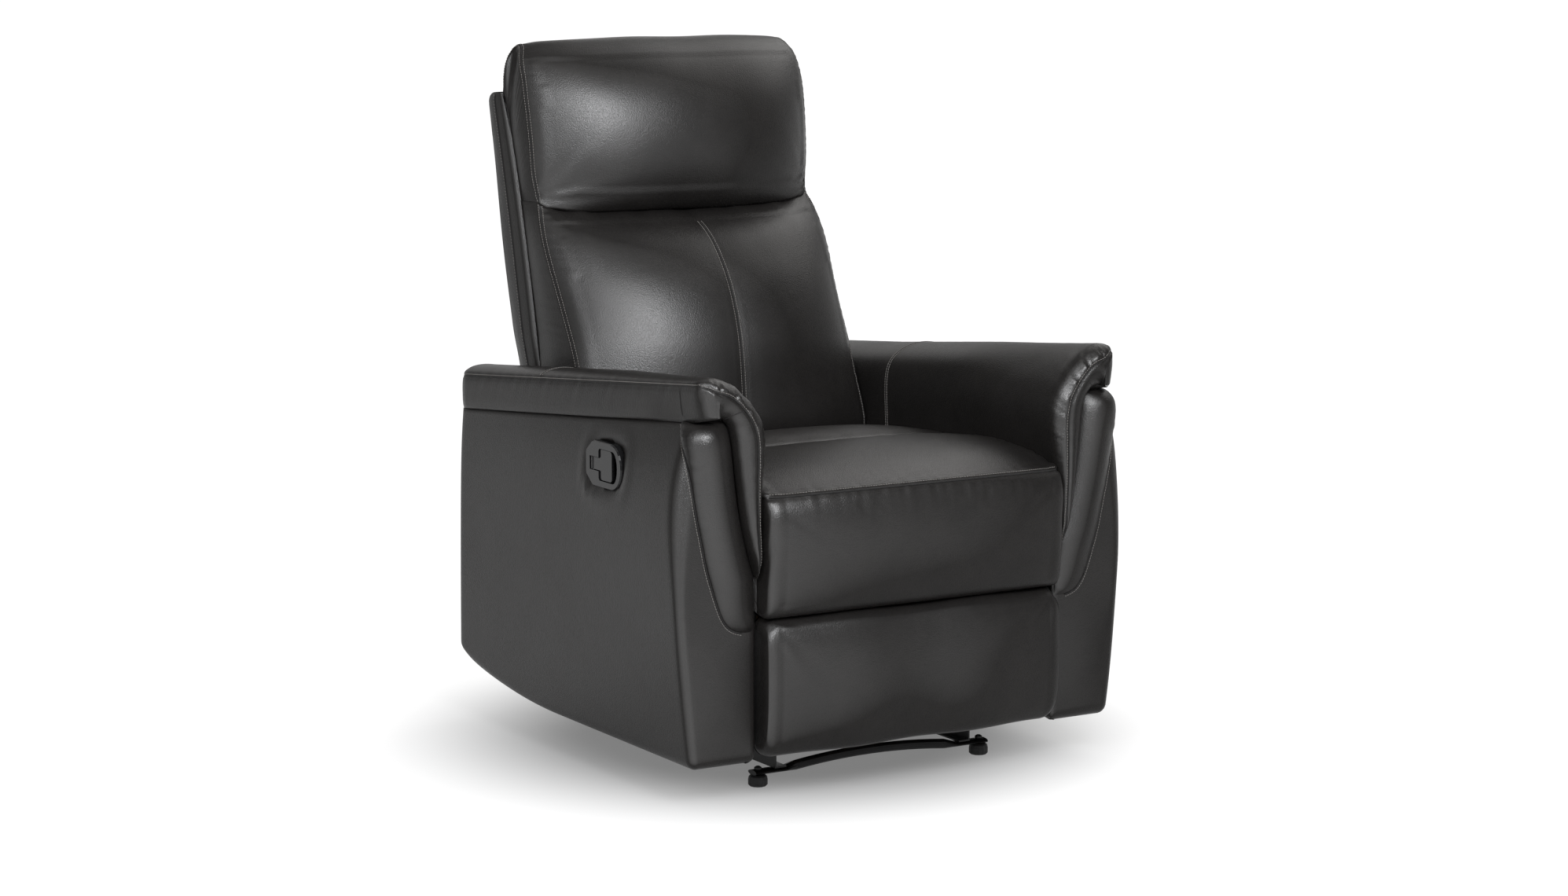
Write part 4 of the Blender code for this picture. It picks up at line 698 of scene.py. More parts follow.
def floor():
    """A pale floor. Camera, glossy and transmission rays see it glow, more so away from the chair: the weaker glow
    near the chair is a painted shadow round its foot, and the weaker glow in front is painted shade that the leather
    reflects.
    """
    size = 60.0
    verts = [(-size, -size, 0), (size, -size, 0), (size, size, 0), (-size, size, 0)]
    ground = mesh_from("floor", verts, [(0, 1, 2, 3)], 0)
    material = bpy.data.materials.new("studio_floor")
    t = Tree(material)
    seen = t.add("ShaderNodeLightPath").outputs
    either = t.math("MAXIMUM", seen["Is Camera Ray"], seen["Is Glossy Ray"])
    direct = t.math("MAXIMUM", either, seen["Is Transmission Ray"])
    where = t.add("ShaderNodeTexCoord").outputs["Object"]
    length = t.add("ShaderNodeVectorMath", "LENGTH")
    t.link(where, length.inputs[0])
    reach = length.outputs["Value"]
    # painted shadow: the glow is low close to the chair and rises outwards, darkening the floor round its foot
    near = t.ramp(reach, 0.28, 0.70, 0.20, 0.88)
    away = t.ramp(reach, 0.80, 2.6, 0.0, 0.10)
    # painted shade: the glow dims towards the front, so the floor that the leather reflects there is darker
    front = t.ramp(t.split(where)["Y"], -4.5, -1.8, 0.35, 1.0)
    glow = t.add("ShaderNodeEmission")
    t.link(t.math("MULTIPLY", t.math("ADD", near, away), front), glow.inputs["Strength"])
    both = t.joined("ShaderNodeAddShader", t.diffuse(0.20), glow.outputs[0])
    t.joined("ShaderNodeOutputMaterial", t.joined("ShaderNodeMixShader", direct, t.diffuse(0.62), both))
    ground.data.materials.append(material)


# ---------------------------------------------------------------- arms
def seam_height(y):
    return ARM_SEAM - ARM_SLOPE * y


def tail_rise(y):
    share = np.clip((y - ARM_TAIL_START) / (ARM_REAR - ARM_TAIL_START), 0, 1)
    return ARM_TAIL_RISE * (0.7 * share**2 + 0.3 * share**16)


def rear_lean(y):
    return ARM_REAR_LEAN * ease((y - ARM_TAIL_START) / (ARM_REAR - ARM_TAIL_START))


def arm_face(y, level):
    """Distance of the arm's outer skin from the middle plane."""
    growth = mix(0.1, 1, np.clip((ARM_REAR - y) / (ARM_REAR - ARM_FRONT), 0, 1.05) ** 1.8)
    return WELL_HALF + ARM_WIDTH + ARM_CROWN * read_spline(ARM_CROWN_TABLE, level) * growth


def arc(centre, radius, start, end, count):
    turns = np.linspace(start, end, count)
    return np.stack([centre[0] + radius * np.cos(turns), centre[1] + radius * np.sin(turns)], 1)


def arm_plan(level):
    """The arm's outline seen from above at a level, from its inner rear corner round to its inner face."""
    rr, ri = ARM_REAR_RADIUS, 0.007
    rf = mix(0.014, ARM_FRONT_RADIUS, float(ease((level - 0.45) / 0.35)))
    rear_x = float(arm_face(ARM_REAR - rr, level)[0]) - rr
    front_x = float(arm_face(ARM_FRONT + rf, level)[0]) - rf
    rear = np.stack([np.linspace(WELL_HALF, rear_x, 8), np.full(8, ARM_REAR)], 1)[:-1]
    corner_rear = arc((rear_x, ARM_REAR - rr), rr, pi / 2, 0, 8)[:-1]
    ys = np.linspace(ARM_REAR - rr, ARM_FRONT + rf, 76)
    side = np.stack([arm_face(ys, level), ys], 1)[:-1]
    corner_front = arc((front_x, ARM_FRONT + rf), rf, 0, -pi / 2, 12)[:-1]
    front = np.stack([np.linspace(front_x, WELL_HALF + ri, 20), np.full(20, ARM_FRONT)], 1)[:-1]
    corner_inner = arc((WELL_HALF + ri, ARM_FRONT + ri), ri, -pi / 2, -pi, 5)[:-1]
    inner = np.stack([np.full(26, WELL_HALF), np.linspace(ARM_FRONT + ri, ARM_REAR, 26)], 1)[:-1]
    return np.concatenate([rear, corner_rear, side, corner_front, front, corner_inner, inner])


def arm_shell(side):
    """The arm's leather body: a rounded slab that swells towards the front."""
    height = ARM_SEAM - ARM_LOW
    offsets = [0, 0.0006, 0.002, 0.0045, 0.008, 0.0125, 0.018]
    levels = [o / height for o in offsets] + list(np.linspace(0.055, 0.9, 40)) + [0.92, 0.94, 0.96, 0.98, 1.0]
    rows = []
    for level in levels:
        plan = arm_plan(level)
        ahead = np.roll(plan, -1, 0) - np.roll(plan, 1, 0)
        out = unit(np.stack([-ahead[:, 1], ahead[:, 0]], 1))
        centre = plan.mean(0)
        if ((plan - centre) * out).sum() < 0:
            out = -out
        plan = plan - out * float(end_set(level * height, 0.014))
        y = plan[:, 1]
        low = ARM_LOW + tail_rise(y)
        lean = rear_lean(y)
        top = seam_height(y - lean)
        z = low + (top - low) * level
        x = plan[:, 0].copy()
        tucked = ease((z - 0.336) / 0.010) * ease((0.30 - x) / 0.012)
        x += tucked * 0.0204
        front = ease((ARM_FRONT + 0.02 - y) / 0.018)
        across = np.clip((x - WELL_HALF) / (ARM_WIDTH + 0.02), 0, 1)
        puff = 0.0035 * front * np.sin(pi * across) * np.sin(pi * np.clip((z - 0.064) / 0.21, 0, 1))
        rows.append(np.stack([side * x, y - lean * level - puff, z], 1))
    return np.array(rows)


def close_grid(name, grid):
    """A mesh from a grid whose second axis closes, with flat ends."""
    nu, nv = grid.shape[:2]
    verts = list(grid.reshape(-1, 3)) + [grid[0].mean(0), grid[-1].mean(0)]
    faces = grid_faces(nu, nv, 0, True)
    for j in range(nv):
        faces.append((j, (j + 1) % nv, nu * nv))
        faces.append(((nu - 1) * nv + j, (nu - 1) * nv + (j + 1) % nv, nu * nv + 1))
    return mesh_from(name, verts, faces)


def pad_lines(y, rows, bulge):
    """Skin and lining of one section of the arm pad, as dense arrays of x and z."""
    seam = seam_height(y) + GAP
    width = float(arm_face(y, 1)[0]) + PAD_OVERHANG - WELL_HALF

    def line(across, up, start):
        across = np.where((start == 0) & (across < 0), across * bulge, across)
        tall = np.where(up > 0, PAD_HEIGHT, seam - PAD_LEG_LOW)
        return np.stack([WELL_HALF + start + across * (width - start), seam + up * tall], 1)

    return line(rows[:, 0], rows[:, 1], 0), line(rows[:, 2], rows[:, 3], PAD_LEG)


def round_in_plan(points, end):
    """Draw the pad's outer side in towards its two ends, so that its corners are round from above."""
    x, y = points[..., 0], points[..., 1]
    share = np.clip((np.abs(x) - 0.285) / 0.096, 0, 1) ** 1.6
    front = np.clip((ARM_FRONT + 0.002 - y) / (PAD_DRAPE + 0.0021), 0, 1)
    front[end:] = np.maximum.accumulate(front[end:], axis=0) if end > 0 else 1.0
    rear = np.clip((y - (ARM_REAR - ARM_REAR_LEAN - PAD_END_RADIUS)) / PAD_END_RADIUS, 0, 1)
    inset = 0.032 * (1 - np.sqrt(1 - front**2)) + 0.026 * (1 - np.sqrt(1 - rear**2))
    points[..., 0] = x - np.sign(x) * inset * share
    return points


def pad_end(outer, inner, side, start, foot, depth, turns, power):
    """Rows that roll the pad's skin over to its lining past an end at start."""
    rows = []
    for turn in turns:
        line = mix(outer, inner, (1 - cos(turn)) / 2)
        reach = depth * foot * (sin(turn) ** power if 0 < turn < pi - 1e-6 else 0)
        rows.append(np.stack([side * line[:, 0], np.full(len(line), start) + reach, line[:, 1]], 1))
    return rows


def pad_grids(side):
    """The pad's skin from its inner foot over the top to its outer seam, with round ends, and its lining."""
    wall = ARM_FRONT - GAP
    rear = ARM_REAR - ARM_REAR_LEAN
    start = rear - PAD_END_RADIUS
    reference, _ = pad_lines(-0.2, PAD_ROWS, 1)
    weights, marks = refining(reference[:, None, :], 0.0042, (PAD_EDGE,))
    edge = marks[1]
    ys = np.linspace(start, wall, 92)
    body, lining = [], []
    for y in ys:
        share = (start - y) / (start - wall)
        turn = float(ease((share - 0.6) / 0.4))
        rows = PAD_ROWS.copy()
        rows[:, :2] = mix(PAD_ROWS[:, :2], PAD_FRONT_ROWS[:, :2], turn)
        skin_line, inner_line = pad_lines(y, rows, float(ease((share - 0.1) / 0.9)))
        line, inner = weights @ skin_line, weights @ inner_line
        low = np.clip((seam_height(y) + 0.75 * PAD_HEIGHT - line[:, 1]) / (0.75 * PAD_HEIGHT), 0, 1)
        low *= ease((line[:, 0] - WELL_HALF - 0.06) / 0.03)
        line[:, 0] -= 0.006 * low * ease((turn - 0.55) / 0.45)
        body.append(np.stack([side * line[:, 0], np.full(len(line), y), line[:, 1]], 1))
        lining.append(np.stack([side * inner[:, 0], np.full(len(inner), y), inner[:, 1]], 1))
    _, front_lining = pad_lines(wall, PAD_FRONT_ROWS, 1)
    front_lining = weights @ front_lining
    front_skin = body[-1][:, [0, 2]] * (side, 1)
    foot = np.clip((front_skin[:, 1] - PAD_LEG_LOW + 0.002) / 0.045, 0, 1)
    foot = np.sqrt(1 - (1 - foot) ** 2)
    front = pad_end(front_skin, front_lining, side, wall, foot, -PAD_DRAPE, np.linspace(0, pi, 27), 0.86)
    _, rear_lining = pad_lines(start, PAD_ROWS, 0)
    rear_lining = weights @ rear_lining
    rear_skin = body[0][:, [0, 2]] * (side, 1)
    back = pad_end(rear_skin, rear_lining, side, start, 1.0, PAD_END_RADIUS, np.linspace(pi, 0, 17), 0.6)
    last = np.stack([side * front_lining[:, 0], np.full(len(front_lining), wall), front_lining[:, 1]], 1)
    grid = round_in_plan(np.array(back[:-1] + body + front[1:]), len(back) + len(body) - 2)
    lining = round_in_plan(np.array(lining + [last]), -1)
    if side > 0:
        up = np.clip((grid[..., 2] - seam_height(grid[..., 1])) / PAD_HEIGHT, 0, 1)
        grid[..., 2] += up * np.interp(grid[..., 1], [wall, -0.25, 0.15], [0.0060, 0.0020, -0.0045])
    return grid, lining, len(back) - 1, len(back) + len(body) - 2, edge


def pad_seam(grid, last, edge):
    """The seam round the pad: along its outer top edge, round the front corner and down the front fall."""
    along = np.arange(6, last + 1, 1.0)
    rows = np.full(len(along), float(edge))
    turns = np.linspace(0, 1, 70)
    us = np.concatenate([along, last + 10.8 * np.sin(pi / 2 * np.clip(turns[1:] / 0.095, 0, 1))])
    vs = np.concatenate([rows, edge * (1 - turns[1:])])
    path = sample(grid, us, vs)
    keep = np.concatenate([[True], np.linalg.norm(np.diff(path, axis=0), axis=1) > 1e-5])
    return path[keep]


def arm_pad(hand, side):
    grid, lining, first, last, edge = pad_grids(side)
    seam = pad_seam(grid, last, edge)
    total = run_length(seam)[-1]
    up = normals_of(grid)
    centre = grid.reshape(-1, 3).mean(0)
    if ((grid - centre) * up).sum() < 0:
        up = -up
    gap, along = near_path(grid, seam)
    columns = np.arange(grid.shape[0])[:, None]
    rows = np.arange(grid.shape[1])[None, :]
    inner = (rows < edge) & (columns <= last + 9)
    corner = 0.8 * hump(along - (total - 0.290), 0.045) + 0.5 * hump(along - (total - 0.19), 0.07)
    folds = wobble(along + 0.45 * gap, 11, 0.0165)
    gathers = np.sign(folds) * np.abs(folds) ** 0.8 * fade(gap, 0.021) * ease(gap / 0.0045) * corner * 0.0038
    ripple = wobble(along + gap * 0.6, 5, 0.030) * fade(gap, 0.020) * 0.0004
    groove = -0.0019 * hump(gap, 0.0021) + 0.0012 * hump(gap - 0.0065, 0.005) * inner
    ends = ease(columns / 5.0) * ease((grid.shape[0] - 1 - columns) / 5.0) * ease(rows / 4.0)
    ends = ends * ease((grid.shape[1] - 1 - rows) / 3.0)
    grid = grid + up * ((gathers * inner + ripple + groove) * ends)[..., None]
    n = len(lining) - 1
    steps = np.clip(np.arange(grid.shape[0]) - first, 0, n - 1)
    steps[-1] = n
    strips = [np.stack([grid[:, k], lining[steps, k]], 0) for k in (0, -1)]
    piece = skin(f"arm_pad_{hand}_cover", [grid, lining] + strips)
    place(piece, HIDE, "chassis")
    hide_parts(f"arm_pad_{hand}")
    seam = smooth_path(seam, 6)
    stitched(f"pad_seam_{hand}", piece, seam, "chassis", (-0.0031 * side,), 0.0043, 0.00095)
    n_rows = grid.shape[1]
    station = int(np.argmin(np.abs(grid[:last, edge + 2, 1] + 0.366)))
    upright = sample(grid, np.full(12, float(station)), np.linspace(edge + 0.3, n_rows - 1.3, 12))
    mitre = sample(grid, np.linspace(last + 11.5, last + 23, 24), np.linspace(0.70, 0.76, 24) * edge)
    # painted shade: dark tubes along the pad's upright and mitre seams
    for label, line in (("upright", upright), ("mitre", mitre)):
        spots, ups = on_surface(piece, line)
        painted_seam_shade(f"pad_{label}_{hand}", spots + ups * 0.0001, 0.0006, "chassis")
    cross = pad_cross_seam(grid, last, edge)
    stitched(f"pad_cross_seam_{hand}", piece, cross, "chassis", (0.0030, -0.0030), 0.0042)


def smooth_path(path, times):
    path = path.copy()
    for _ in range(times):
        path[1:-1] = (path[:-2] + 2 * path[1:-1] + path[2:]) / 4
    return path


def pad_cross_seam(grid, last, edge):
    """The seam across the pad, level with the front of the sitter's elbow."""
    ys = grid[:, edge // 2, 1]
    u = int(np.argmin(np.abs(ys[:last] - 0.075)))
    vs = np.arange(2, edge - 0.5, 0.5)
    return sample(grid, np.full(len(vs), float(u)), vs)


def arm_wrap(reach, z):
    """A place on the arm's front and the way out of it, for arrays."""
    top = seam_height(ARM_FRONT)
    face = arm_face(ARM_FRONT, np.clip((z - ARM_LOW) / (top - ARM_LOW), 0, 1))
    corner = face - ARM_FRONT_RADIUS
    beyond = reach - (corner - WELL_HALF)
    centre = ARM_FRONT + ARM_FRONT_RADIUS
    bend = np.clip(beyond / ARM_FRONT_RADIUS, 0, pi / 2)
    way = np.stack([np.sin(bend), -np.cos(bend), np.zeros_like(bend)], -1)
    x = corner + ARM_FRONT_RADIUS * np.sin(bend) + np.minimum(beyond, 0)
    y = centre - ARM_FRONT_RADIUS * np.cos(bend) + np.maximum(beyond - ARM_FRONT_RADIUS * pi / 2, 0)
    return np.stack([x, y, z], -1), way


def arm_panel(hand, side):
    """The padded crescent on the arm's front, sunk into the arm at its stitched edge."""
    seam = seam_height(ARM_FRONT)
    fine = spline_weights(np.linspace(0, 1, len(PANEL_ROWS)), np.linspace(0, 1, 96)) @ PANEL_ROWS
    shares = np.linspace(0, 1, 30)
    arch = np.sin(pi * shares ** 0.95) ** 0.62
    reach = mix(fine[:, :1] * ARM_WIDTH + PANEL_GROOVE, fine[:, 2:3] * ARM_WIDTH, shares[None])
    z = mix(PANEL_FOOT, seam, mix(fine[:, 1:2], fine[:, 3:4], shares[None]))
    spot, way = arm_wrap(reach, z)
    full = np.clip(fine[:, 4:5], 0, 1.3)
    top = np.linspace(0, 1, 96)[:, None]
    crown = np.sqrt(np.clip(1 - np.clip((top - 0.68) / 0.32, 0, 1) ** 2.3, 0, 1))
    lift = -0.0012 + (PANEL_LIP + 0.0009 + PANEL_PAD * full * crown) * arch[None] * ease(top * 14 + 0.15)
    lift = lift + wobble(top * 0.36, 21, 0.016) * hump(shares[None] - 1, 0.16) * 0.0011 * ease((top - 0.45) / 0.3)
    grid = spot + way * lift[..., None]
    grid[..., 0] *= side
    under = spot - way * 0.004
    under[..., 0] *= side
    borders = [np.stack([grid[:, 0], under[:, 0]], 1), np.stack([grid[:, -1], under[:, -1]], 1),
               np.stack([grid[0], under[0]], 0), np.stack([grid[-1], under[-1]], 0)]
    piece = skin(f"arm_panel_{hand}_cover", [grid, under] + borders)
    place(piece, HIDE, "chassis")
    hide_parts(f"arm_panel_{hand}")
    edge = spot[:, -1].copy()
    edge[:, 0] *= side
    return edge[3:-2]


def bezel_points(grow=0.0):
    """Outline of the lever's bezel on the arm's side, as y and z."""
    turns = np.linspace(0, 2 * pi, 48, endpoint=False)
    c, s = np.cos(turns), np.sin(turns)
    return np.stack([LEVER_Y + (BEZEL_LENGTH + grow) * np.sign(c) * np.abs(c) ** 0.62,
                     LEVER_Z + (BEZEL_HEIGHT + grow) * np.sign(s) * np.abs(s) ** 0.62], 1)


def dent_for_lever(grid):
    """Draw the leather in round the lever's bezel."""
    outline = bezel_points()
    ring = np.stack([np.zeros(len(outline)), outline[:, 0], outline[:, 1]], 1)
    ring = np.concatenate([ring, ring[:1]])
    flat = grid.copy()
    flat[..., 0] = 0
    gap, _ = near_path(flat, ring)
    y, z = grid[..., 1], grid[..., 2]
    inside = np.abs((y - LEVER_Y) / BEZEL_LENGTH) ** 3.2 + np.abs((z - LEVER_Z) / BEZEL_HEIGHT) ** 3.2 < 1
    outer = grid[..., 0] < -0.33
    amount = np.where(inside, 0.0045, 0.0040 * fade(gap, 0.0055) - 0.0016 * hump(gap - 0.018, 0.012))
    low_rear = hump(y - (LEVER_Y + 0.052), 0.022) * hump(z - (LEVER_Z - 0.030), 0.020)
    amount = amount + 0.0022 * low_rear * np.sin((y * 0.8 + z) * 520)
    grid[..., 0] += np.where(outer, amount, 0)
    return grid


def cut_for_lever(piece):
    """Open the arm where the bezel and its cup sit."""
    outline = bezel_points(-0.0022)
    verts = [(x, y, z) for x in (-0.46, -0.352) for y, z in outline]
    n = len(outline)
    faces = [tuple(range(n)), tuple(range(n, 2 * n))[::-1]]
    faces += [(i, (i + 1) % n, n + (i + 1) % n, n + i) for i in range(n)]
    cutter = mesh_from("bezel_cutter", verts, faces, 0)
    step = piece.modifiers.new("opening", "BOOLEAN")
    step.object = cutter
    step.operation = "DIFFERENCE"
    step.solver = "EXACT"
    apply_modifiers(piece)
    bpy.data.objects.remove(cutter, do_unlink=True)


def apply_modifiers(piece):
    graph = bpy.context.evaluated_depsgraph_get()
    mesh = bpy.data.meshes.new_from_object(piece.evaluated_get(graph))
    piece.modifiers.clear()
    piece.data = mesh
    mesh.shade_smooth()


def arm(hand, side):
    grid = arm_shell(side)
    if side < 0:
        grid = dent_for_lever(grid)
    body = close_grid(f"arm_body_{hand}_cover", grid)
    if side < 0:
        cut_for_lever(body)
    place(body, HIDE, "chassis")
    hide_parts(f"arm_body_{hand}")
    edge = arm_panel(hand, side)
    stitched(f"panel_seam_{hand}", body, edge, "chassis", (-0.0030 * side,), 0.0042, 0.0011, 0.0004)
    arm_pad(hand, side)


# ---------------------------------------------------------------- cushions
def fullness(across, power, root):
    return (1 - np.abs(across) ** power) ** root


def back_plane(z):
    return 0.299 + 0.211 * (z - 0.600)


def rear_line(z):
    above = np.maximum(np.minimum(z, SHELL_TOP) - 0.600, 0) / (SHELL_TOP - 0.600)
    return back_plane(z) + 0.027 * above**2.5


def across_places(half, step, radius=0.010):
    """Places across a cushion, close together in its rounded ends."""
    turns = np.linspace(0, pi / 2, 6)
    ends = half - radius + radius * np.sin(turns)
    middle = np.linspace(-(half - radius), half - radius, int(2 * half / step))
    return np.concatenate([-ends[::-1], middle[1:-1], ends])


def seat_grid():
    """The seat's outline from its rear foot over the top and down the front, at places across."""
    xs = across_places(SEAT_HALF, COLUMN_STEP, 0.012)
    shares = xs / SEAT_HALF
    full = fullness(shares, 3.0, 0.7)
    rows = []
    for side_y, side_z, mid_y, mid_z in SEAT_ROWS:
        y = mix(SEAT_FRONT, SEAT_REAR, mix(side_y, mid_y, full))
        z = mix(SEAT_LOW, SEAT_TOP, mix(side_z, mid_z, full))
        rows.append(np.stack([xs, y, z], 1))
    return refine(np.array(rows), 0, ROW_STEP, (SEAT_SEAM, SEAT_CHANNEL))


def rounded_ends(grid, radius):
    """Draw the outer columns of a cushion in, so that its ends are round."""
    xs = grid[0, :, 0]
    half = np.abs(xs).max()
    inset = end_set(half - np.abs(xs), radius)
    way = grid.mean(0, keepdims=True) - grid
    way[..., 0] = 0
    return grid + unit(way) * inset[None, :, None]


def read_points(mesh, what="co"):
    values = np.zeros(len(mesh.vertices) * 3)
    mesh.vertices.foreach_get(what, values)
    return values.reshape(-1, 3)


def swell(piece, pins, cap, pressure):
    """Blow a cushion up as cloth for a moment with its seams held, and return how far its points moved."""
    rest = read_points(piece.data)
    begin = rest - read_points(piece.data, "normal") * 0.0015 * (pins < 0.5)[:, None]
    piece.data.vertices.foreach_set("co", begin.ravel())
    group = piece.vertex_groups.new(name=HELD_GROUP)
    for i in np.nonzero(pins > 0.01)[0]:
        group.add([int(i)], float(pins[i]), "REPLACE")
    cloth = piece.modifiers.new("cloth", "CLOTH")
    for key, value in CLOTH_SETTINGS.items():
        setattr(cloth.settings, key, value)
    cloth.settings.uniform_pressure_force = pressure
    cloth.settings.effector_weights.gravity = 0
    cloth.point_cache.frame_start, cloth.point_cache.frame_end = 1, CLOTH_FRAMES
    scene = bpy.context.scene
    for number in range(1, CLOTH_FRAMES + 1):
        scene.frame_set(number)
    mesh = piece.evaluated_get(bpy.context.evaluated_depsgraph_get()).to_mesh()
    move = read_points(mesh) - rest
    scene.frame_set(1)
    size = np.linalg.norm(move, axis=1, keepdims=True)
    print("swelled", piece.name, len(rest), "mean", round(float(size.mean()), 5), "max", round(float(size.max()), 5))
    return rest, move * np.minimum(1, cap / np.maximum(size, 1e-9))


def blown(name, grid, closing, held, cap, pressure=4.0):
    """A cushion's face after its closed form has been blown up as cloth."""
    piece = closing(name, grid)
    rest, move = swell(piece, held(read_points(piece.data)), cap, pressure)
    tree = KDTree(len(rest))
    for i, point in enumerate(rest):
        tree.insert(point, i)
    tree.balance()
    nearest = [tree.find(point)[1] for point in grid.reshape(-1, 3)]
    bpy.data.objects.remove(piece, do_unlink=True)
    return grid + move[nearest].reshape(grid.shape)


def seat_closed(name, grid):
    first, lip = grid[0], SEAT_FRONT + 0.0495
    under = np.stack([first] * 3)
    under[:, :, 1] = np.array([SEAT_REAR, lip, lip])[:, None]
    under[:2, :, 2] = SEAT_PLATFORM
    return close_grid(name, np.swapaxes(np.concatenate([grid, under], 0), 0, 1))


def seat():
    grid, marks = seat_grid()
    seam_row, channel_row = marks[1], marks[2]
    grid = rounded_ends(grid, 0.008)
    held_lines = (grid[seam_row].copy(), grid[channel_row].copy())

    def held(points):
        near = np.minimum(*(near_path(points, line)[0] for line in held_lines))
        side = ease((np.abs(points[:, 0]) - (SEAT_HALF - 0.030)) / 0.020)
        low = np.maximum(points[:, 2] < 0.30, (points[:, 1] > -0.395) & (points[:, 2] < 0.42))
        rear = ease((points[:, 1] - 0.02) / 0.03)
        return np.clip(np.maximum.reduce([side, low, rear, 1 - ease(near / 0.010)]), 0, 1)

    grid = blown("seat_blown", grid, seat_closed, held, 0.006)
    up = outward(grid, 2, 1)
    seam = grid[seam_row].copy()
    gap, along = near_path(grid, seam)
    rows = np.arange(grid.shape[0])[:, None]
    on_top = rows > seam_row
    groove = -0.0030 * hump(gap, 0.0040) * ~on_top + 0.0022 * hump(gap - 0.007, 0.007) * on_top
    pulls = wobble(along, 31, 0.019) * fade(gap, 0.016) * 0.0008
    deep, along_channel = near_path(grid, grid[channel_row].copy())
    crease = -0.0035 * hump(deep, 0.006) + 0.0012 * hump(deep - 0.018, 0.010)
    crease = crease * (np.abs(grid[..., 0]) < 0.25)
    ripples = wobble(along_channel, 37, 0.055) * fade(deep, 0.035) * 0.0010
    edge = fade(SEAT_HALF - np.abs(grid[..., 0]), 0.018)
    side_folds = wobble(grid[..., 1] + 0.3 * grid[..., 2], 41, 0.030) * edge * 0.0013
    grid = grid + up * (groove + pulls + crease + ripples + side_folds)[..., None]
    piece = seat_closed("seat_cover", grid)
    place(piece, HIDE, "chassis")
    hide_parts("seat_cushion")
    keep = np.abs(seam[:, 0]) < SEAT_HALF - 0.004
    stitched("seat_seam", piece, seam[keep], "chassis", (0.0045,), 0.0044, 0.0013, 0.0)


def back_grid(rows, low, top):
    shares = across_places(BACK_HALF, COLUMN_STEP, 0.006) / BACK_HALF
    full = fullness(shares, 2.6, 0.75)
    flat = fullness(shares, 5.0, 0.55)
    lines = []
    for side_d, side_h, mid_d, mid_h in rows:
        z = mix(low, top, mix(side_h, mid_h, flat))
        y = back_plane(z) - BACK_DEPTH * mix(side_d, mid_d, full)
        lines.append(np.stack([shares, y, z], 1))
    grid, _ = refine(np.array(lines), 0, ROW_STEP)
    waist = read_spline(WAIST, np.clip((grid[..., 2] - LUMBAR_LOW) / (HEAD_TOP - LUMBAR_LOW), 0, 1))
    grid[..., 0] = grid[..., 0] * BACK_HALF * waist
    return grid


def boxing(line, low_z, high_z, side, steps=12, bulge=0.004):
    """The side panel of a back cushion, from its front edge to the rear line."""
    z = np.interp(np.linspace(0, 1, len(line)), [0, 1], [low_z, high_z])
    rear = np.stack([np.full(len(line), line[:, 0].mean()), rear_line(z), z], 1)
    grid = []
    for t in np.linspace(0, 1, steps):
        row = mix(line, rear, t)
        row[:, 0] += side * bulge * sin(pi * t) * np.sin(pi * np.linspace(0, 1, len(line))) ** 0.5
        grid.append(row)
    return np.array(grid)


def back_cushion(name, rows, low, top, rear_top, high):
    grid = blown_back(name, back_grid(rows, low, top), rear_top, low, high)
    return grid, outward(grid, 1, -1, 3)


def back_closed(rear_top):
    """What closes a back cushion: side panels, a flat rear, foot and head."""
    def close(name, grid):
        left = boxing(grid[:, 0], grid[0, 0, 2], rear_top, -1)
        right = boxing(grid[:, -1], grid[0, -1, 2], rear_top, 1)
        n = grid.shape[1]
        foot, head = grid[0], grid[-1]
        rear_foot = np.stack([foot[:, 0], rear_line(foot[:, 2]), foot[:, 2]], 1)
        rear_head = np.stack([head[:, 0], rear_line(np.full(n, rear_top)), np.full(n, rear_top)], 1)
        floor_grid = np.stack([foot, mix(foot, rear_foot, 0.5), rear_foot], 0)
        roof_grid = np.stack([head, rear_head], 0)
        rear = np.stack([mix(rear_foot, rear_head, t) for t in np.linspace(0, 1, left.shape[1])], 0)
        rear[..., 1] = rear_line(rear[..., 2])
        rear[:, 0] = left[-1]
        rear[:, -1] = right[-1]
        return skin(name, [grid, left, right, floor_grid, roof_grid, rear])
    return close


def blown_back(name, grid, rear_top, low, high):
    """A back cushion's face, blown up between its side seams, foot and head."""
    def held(points):
        side = ease((np.abs(points[:, 0]) - (BACK_HALF - 0.034)) / 0.022)
        rear = points[:, 1] > rear_line(points[:, 2]) - 0.030
        ends = 1 - ease((points[:, 2] - low) / 0.040) + ease((points[:, 2] - high) / 0.030)
        return np.clip(np.maximum.reduce([side, rear, ends]), 0, 1)
    return blown(name, grid, back_closed(rear_top), held, 0.007)


def seal_back(name, grid, node, rear_top):
    piece = back_closed(rear_top)(name, grid)
    place(piece, HIDE, "back")
    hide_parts(node)
    return piece


def side_seams(name, piece, grid):
    for label, column in (("", 3), ("_right", grid.shape[1] - 4)):
        path = smooth_path(grid[:, column], 2)
        stitched(f"{name}_side_seams{label}", piece, path, "back", (0.0034, -0.0034), 0.0044, 0.0009)


def gathered(grid, folds):
    """The sum of folds at several points. Each is (place, seed, reach, depth, count)."""
    return sum(radial_folds(grid, *fold) for fold in folds)


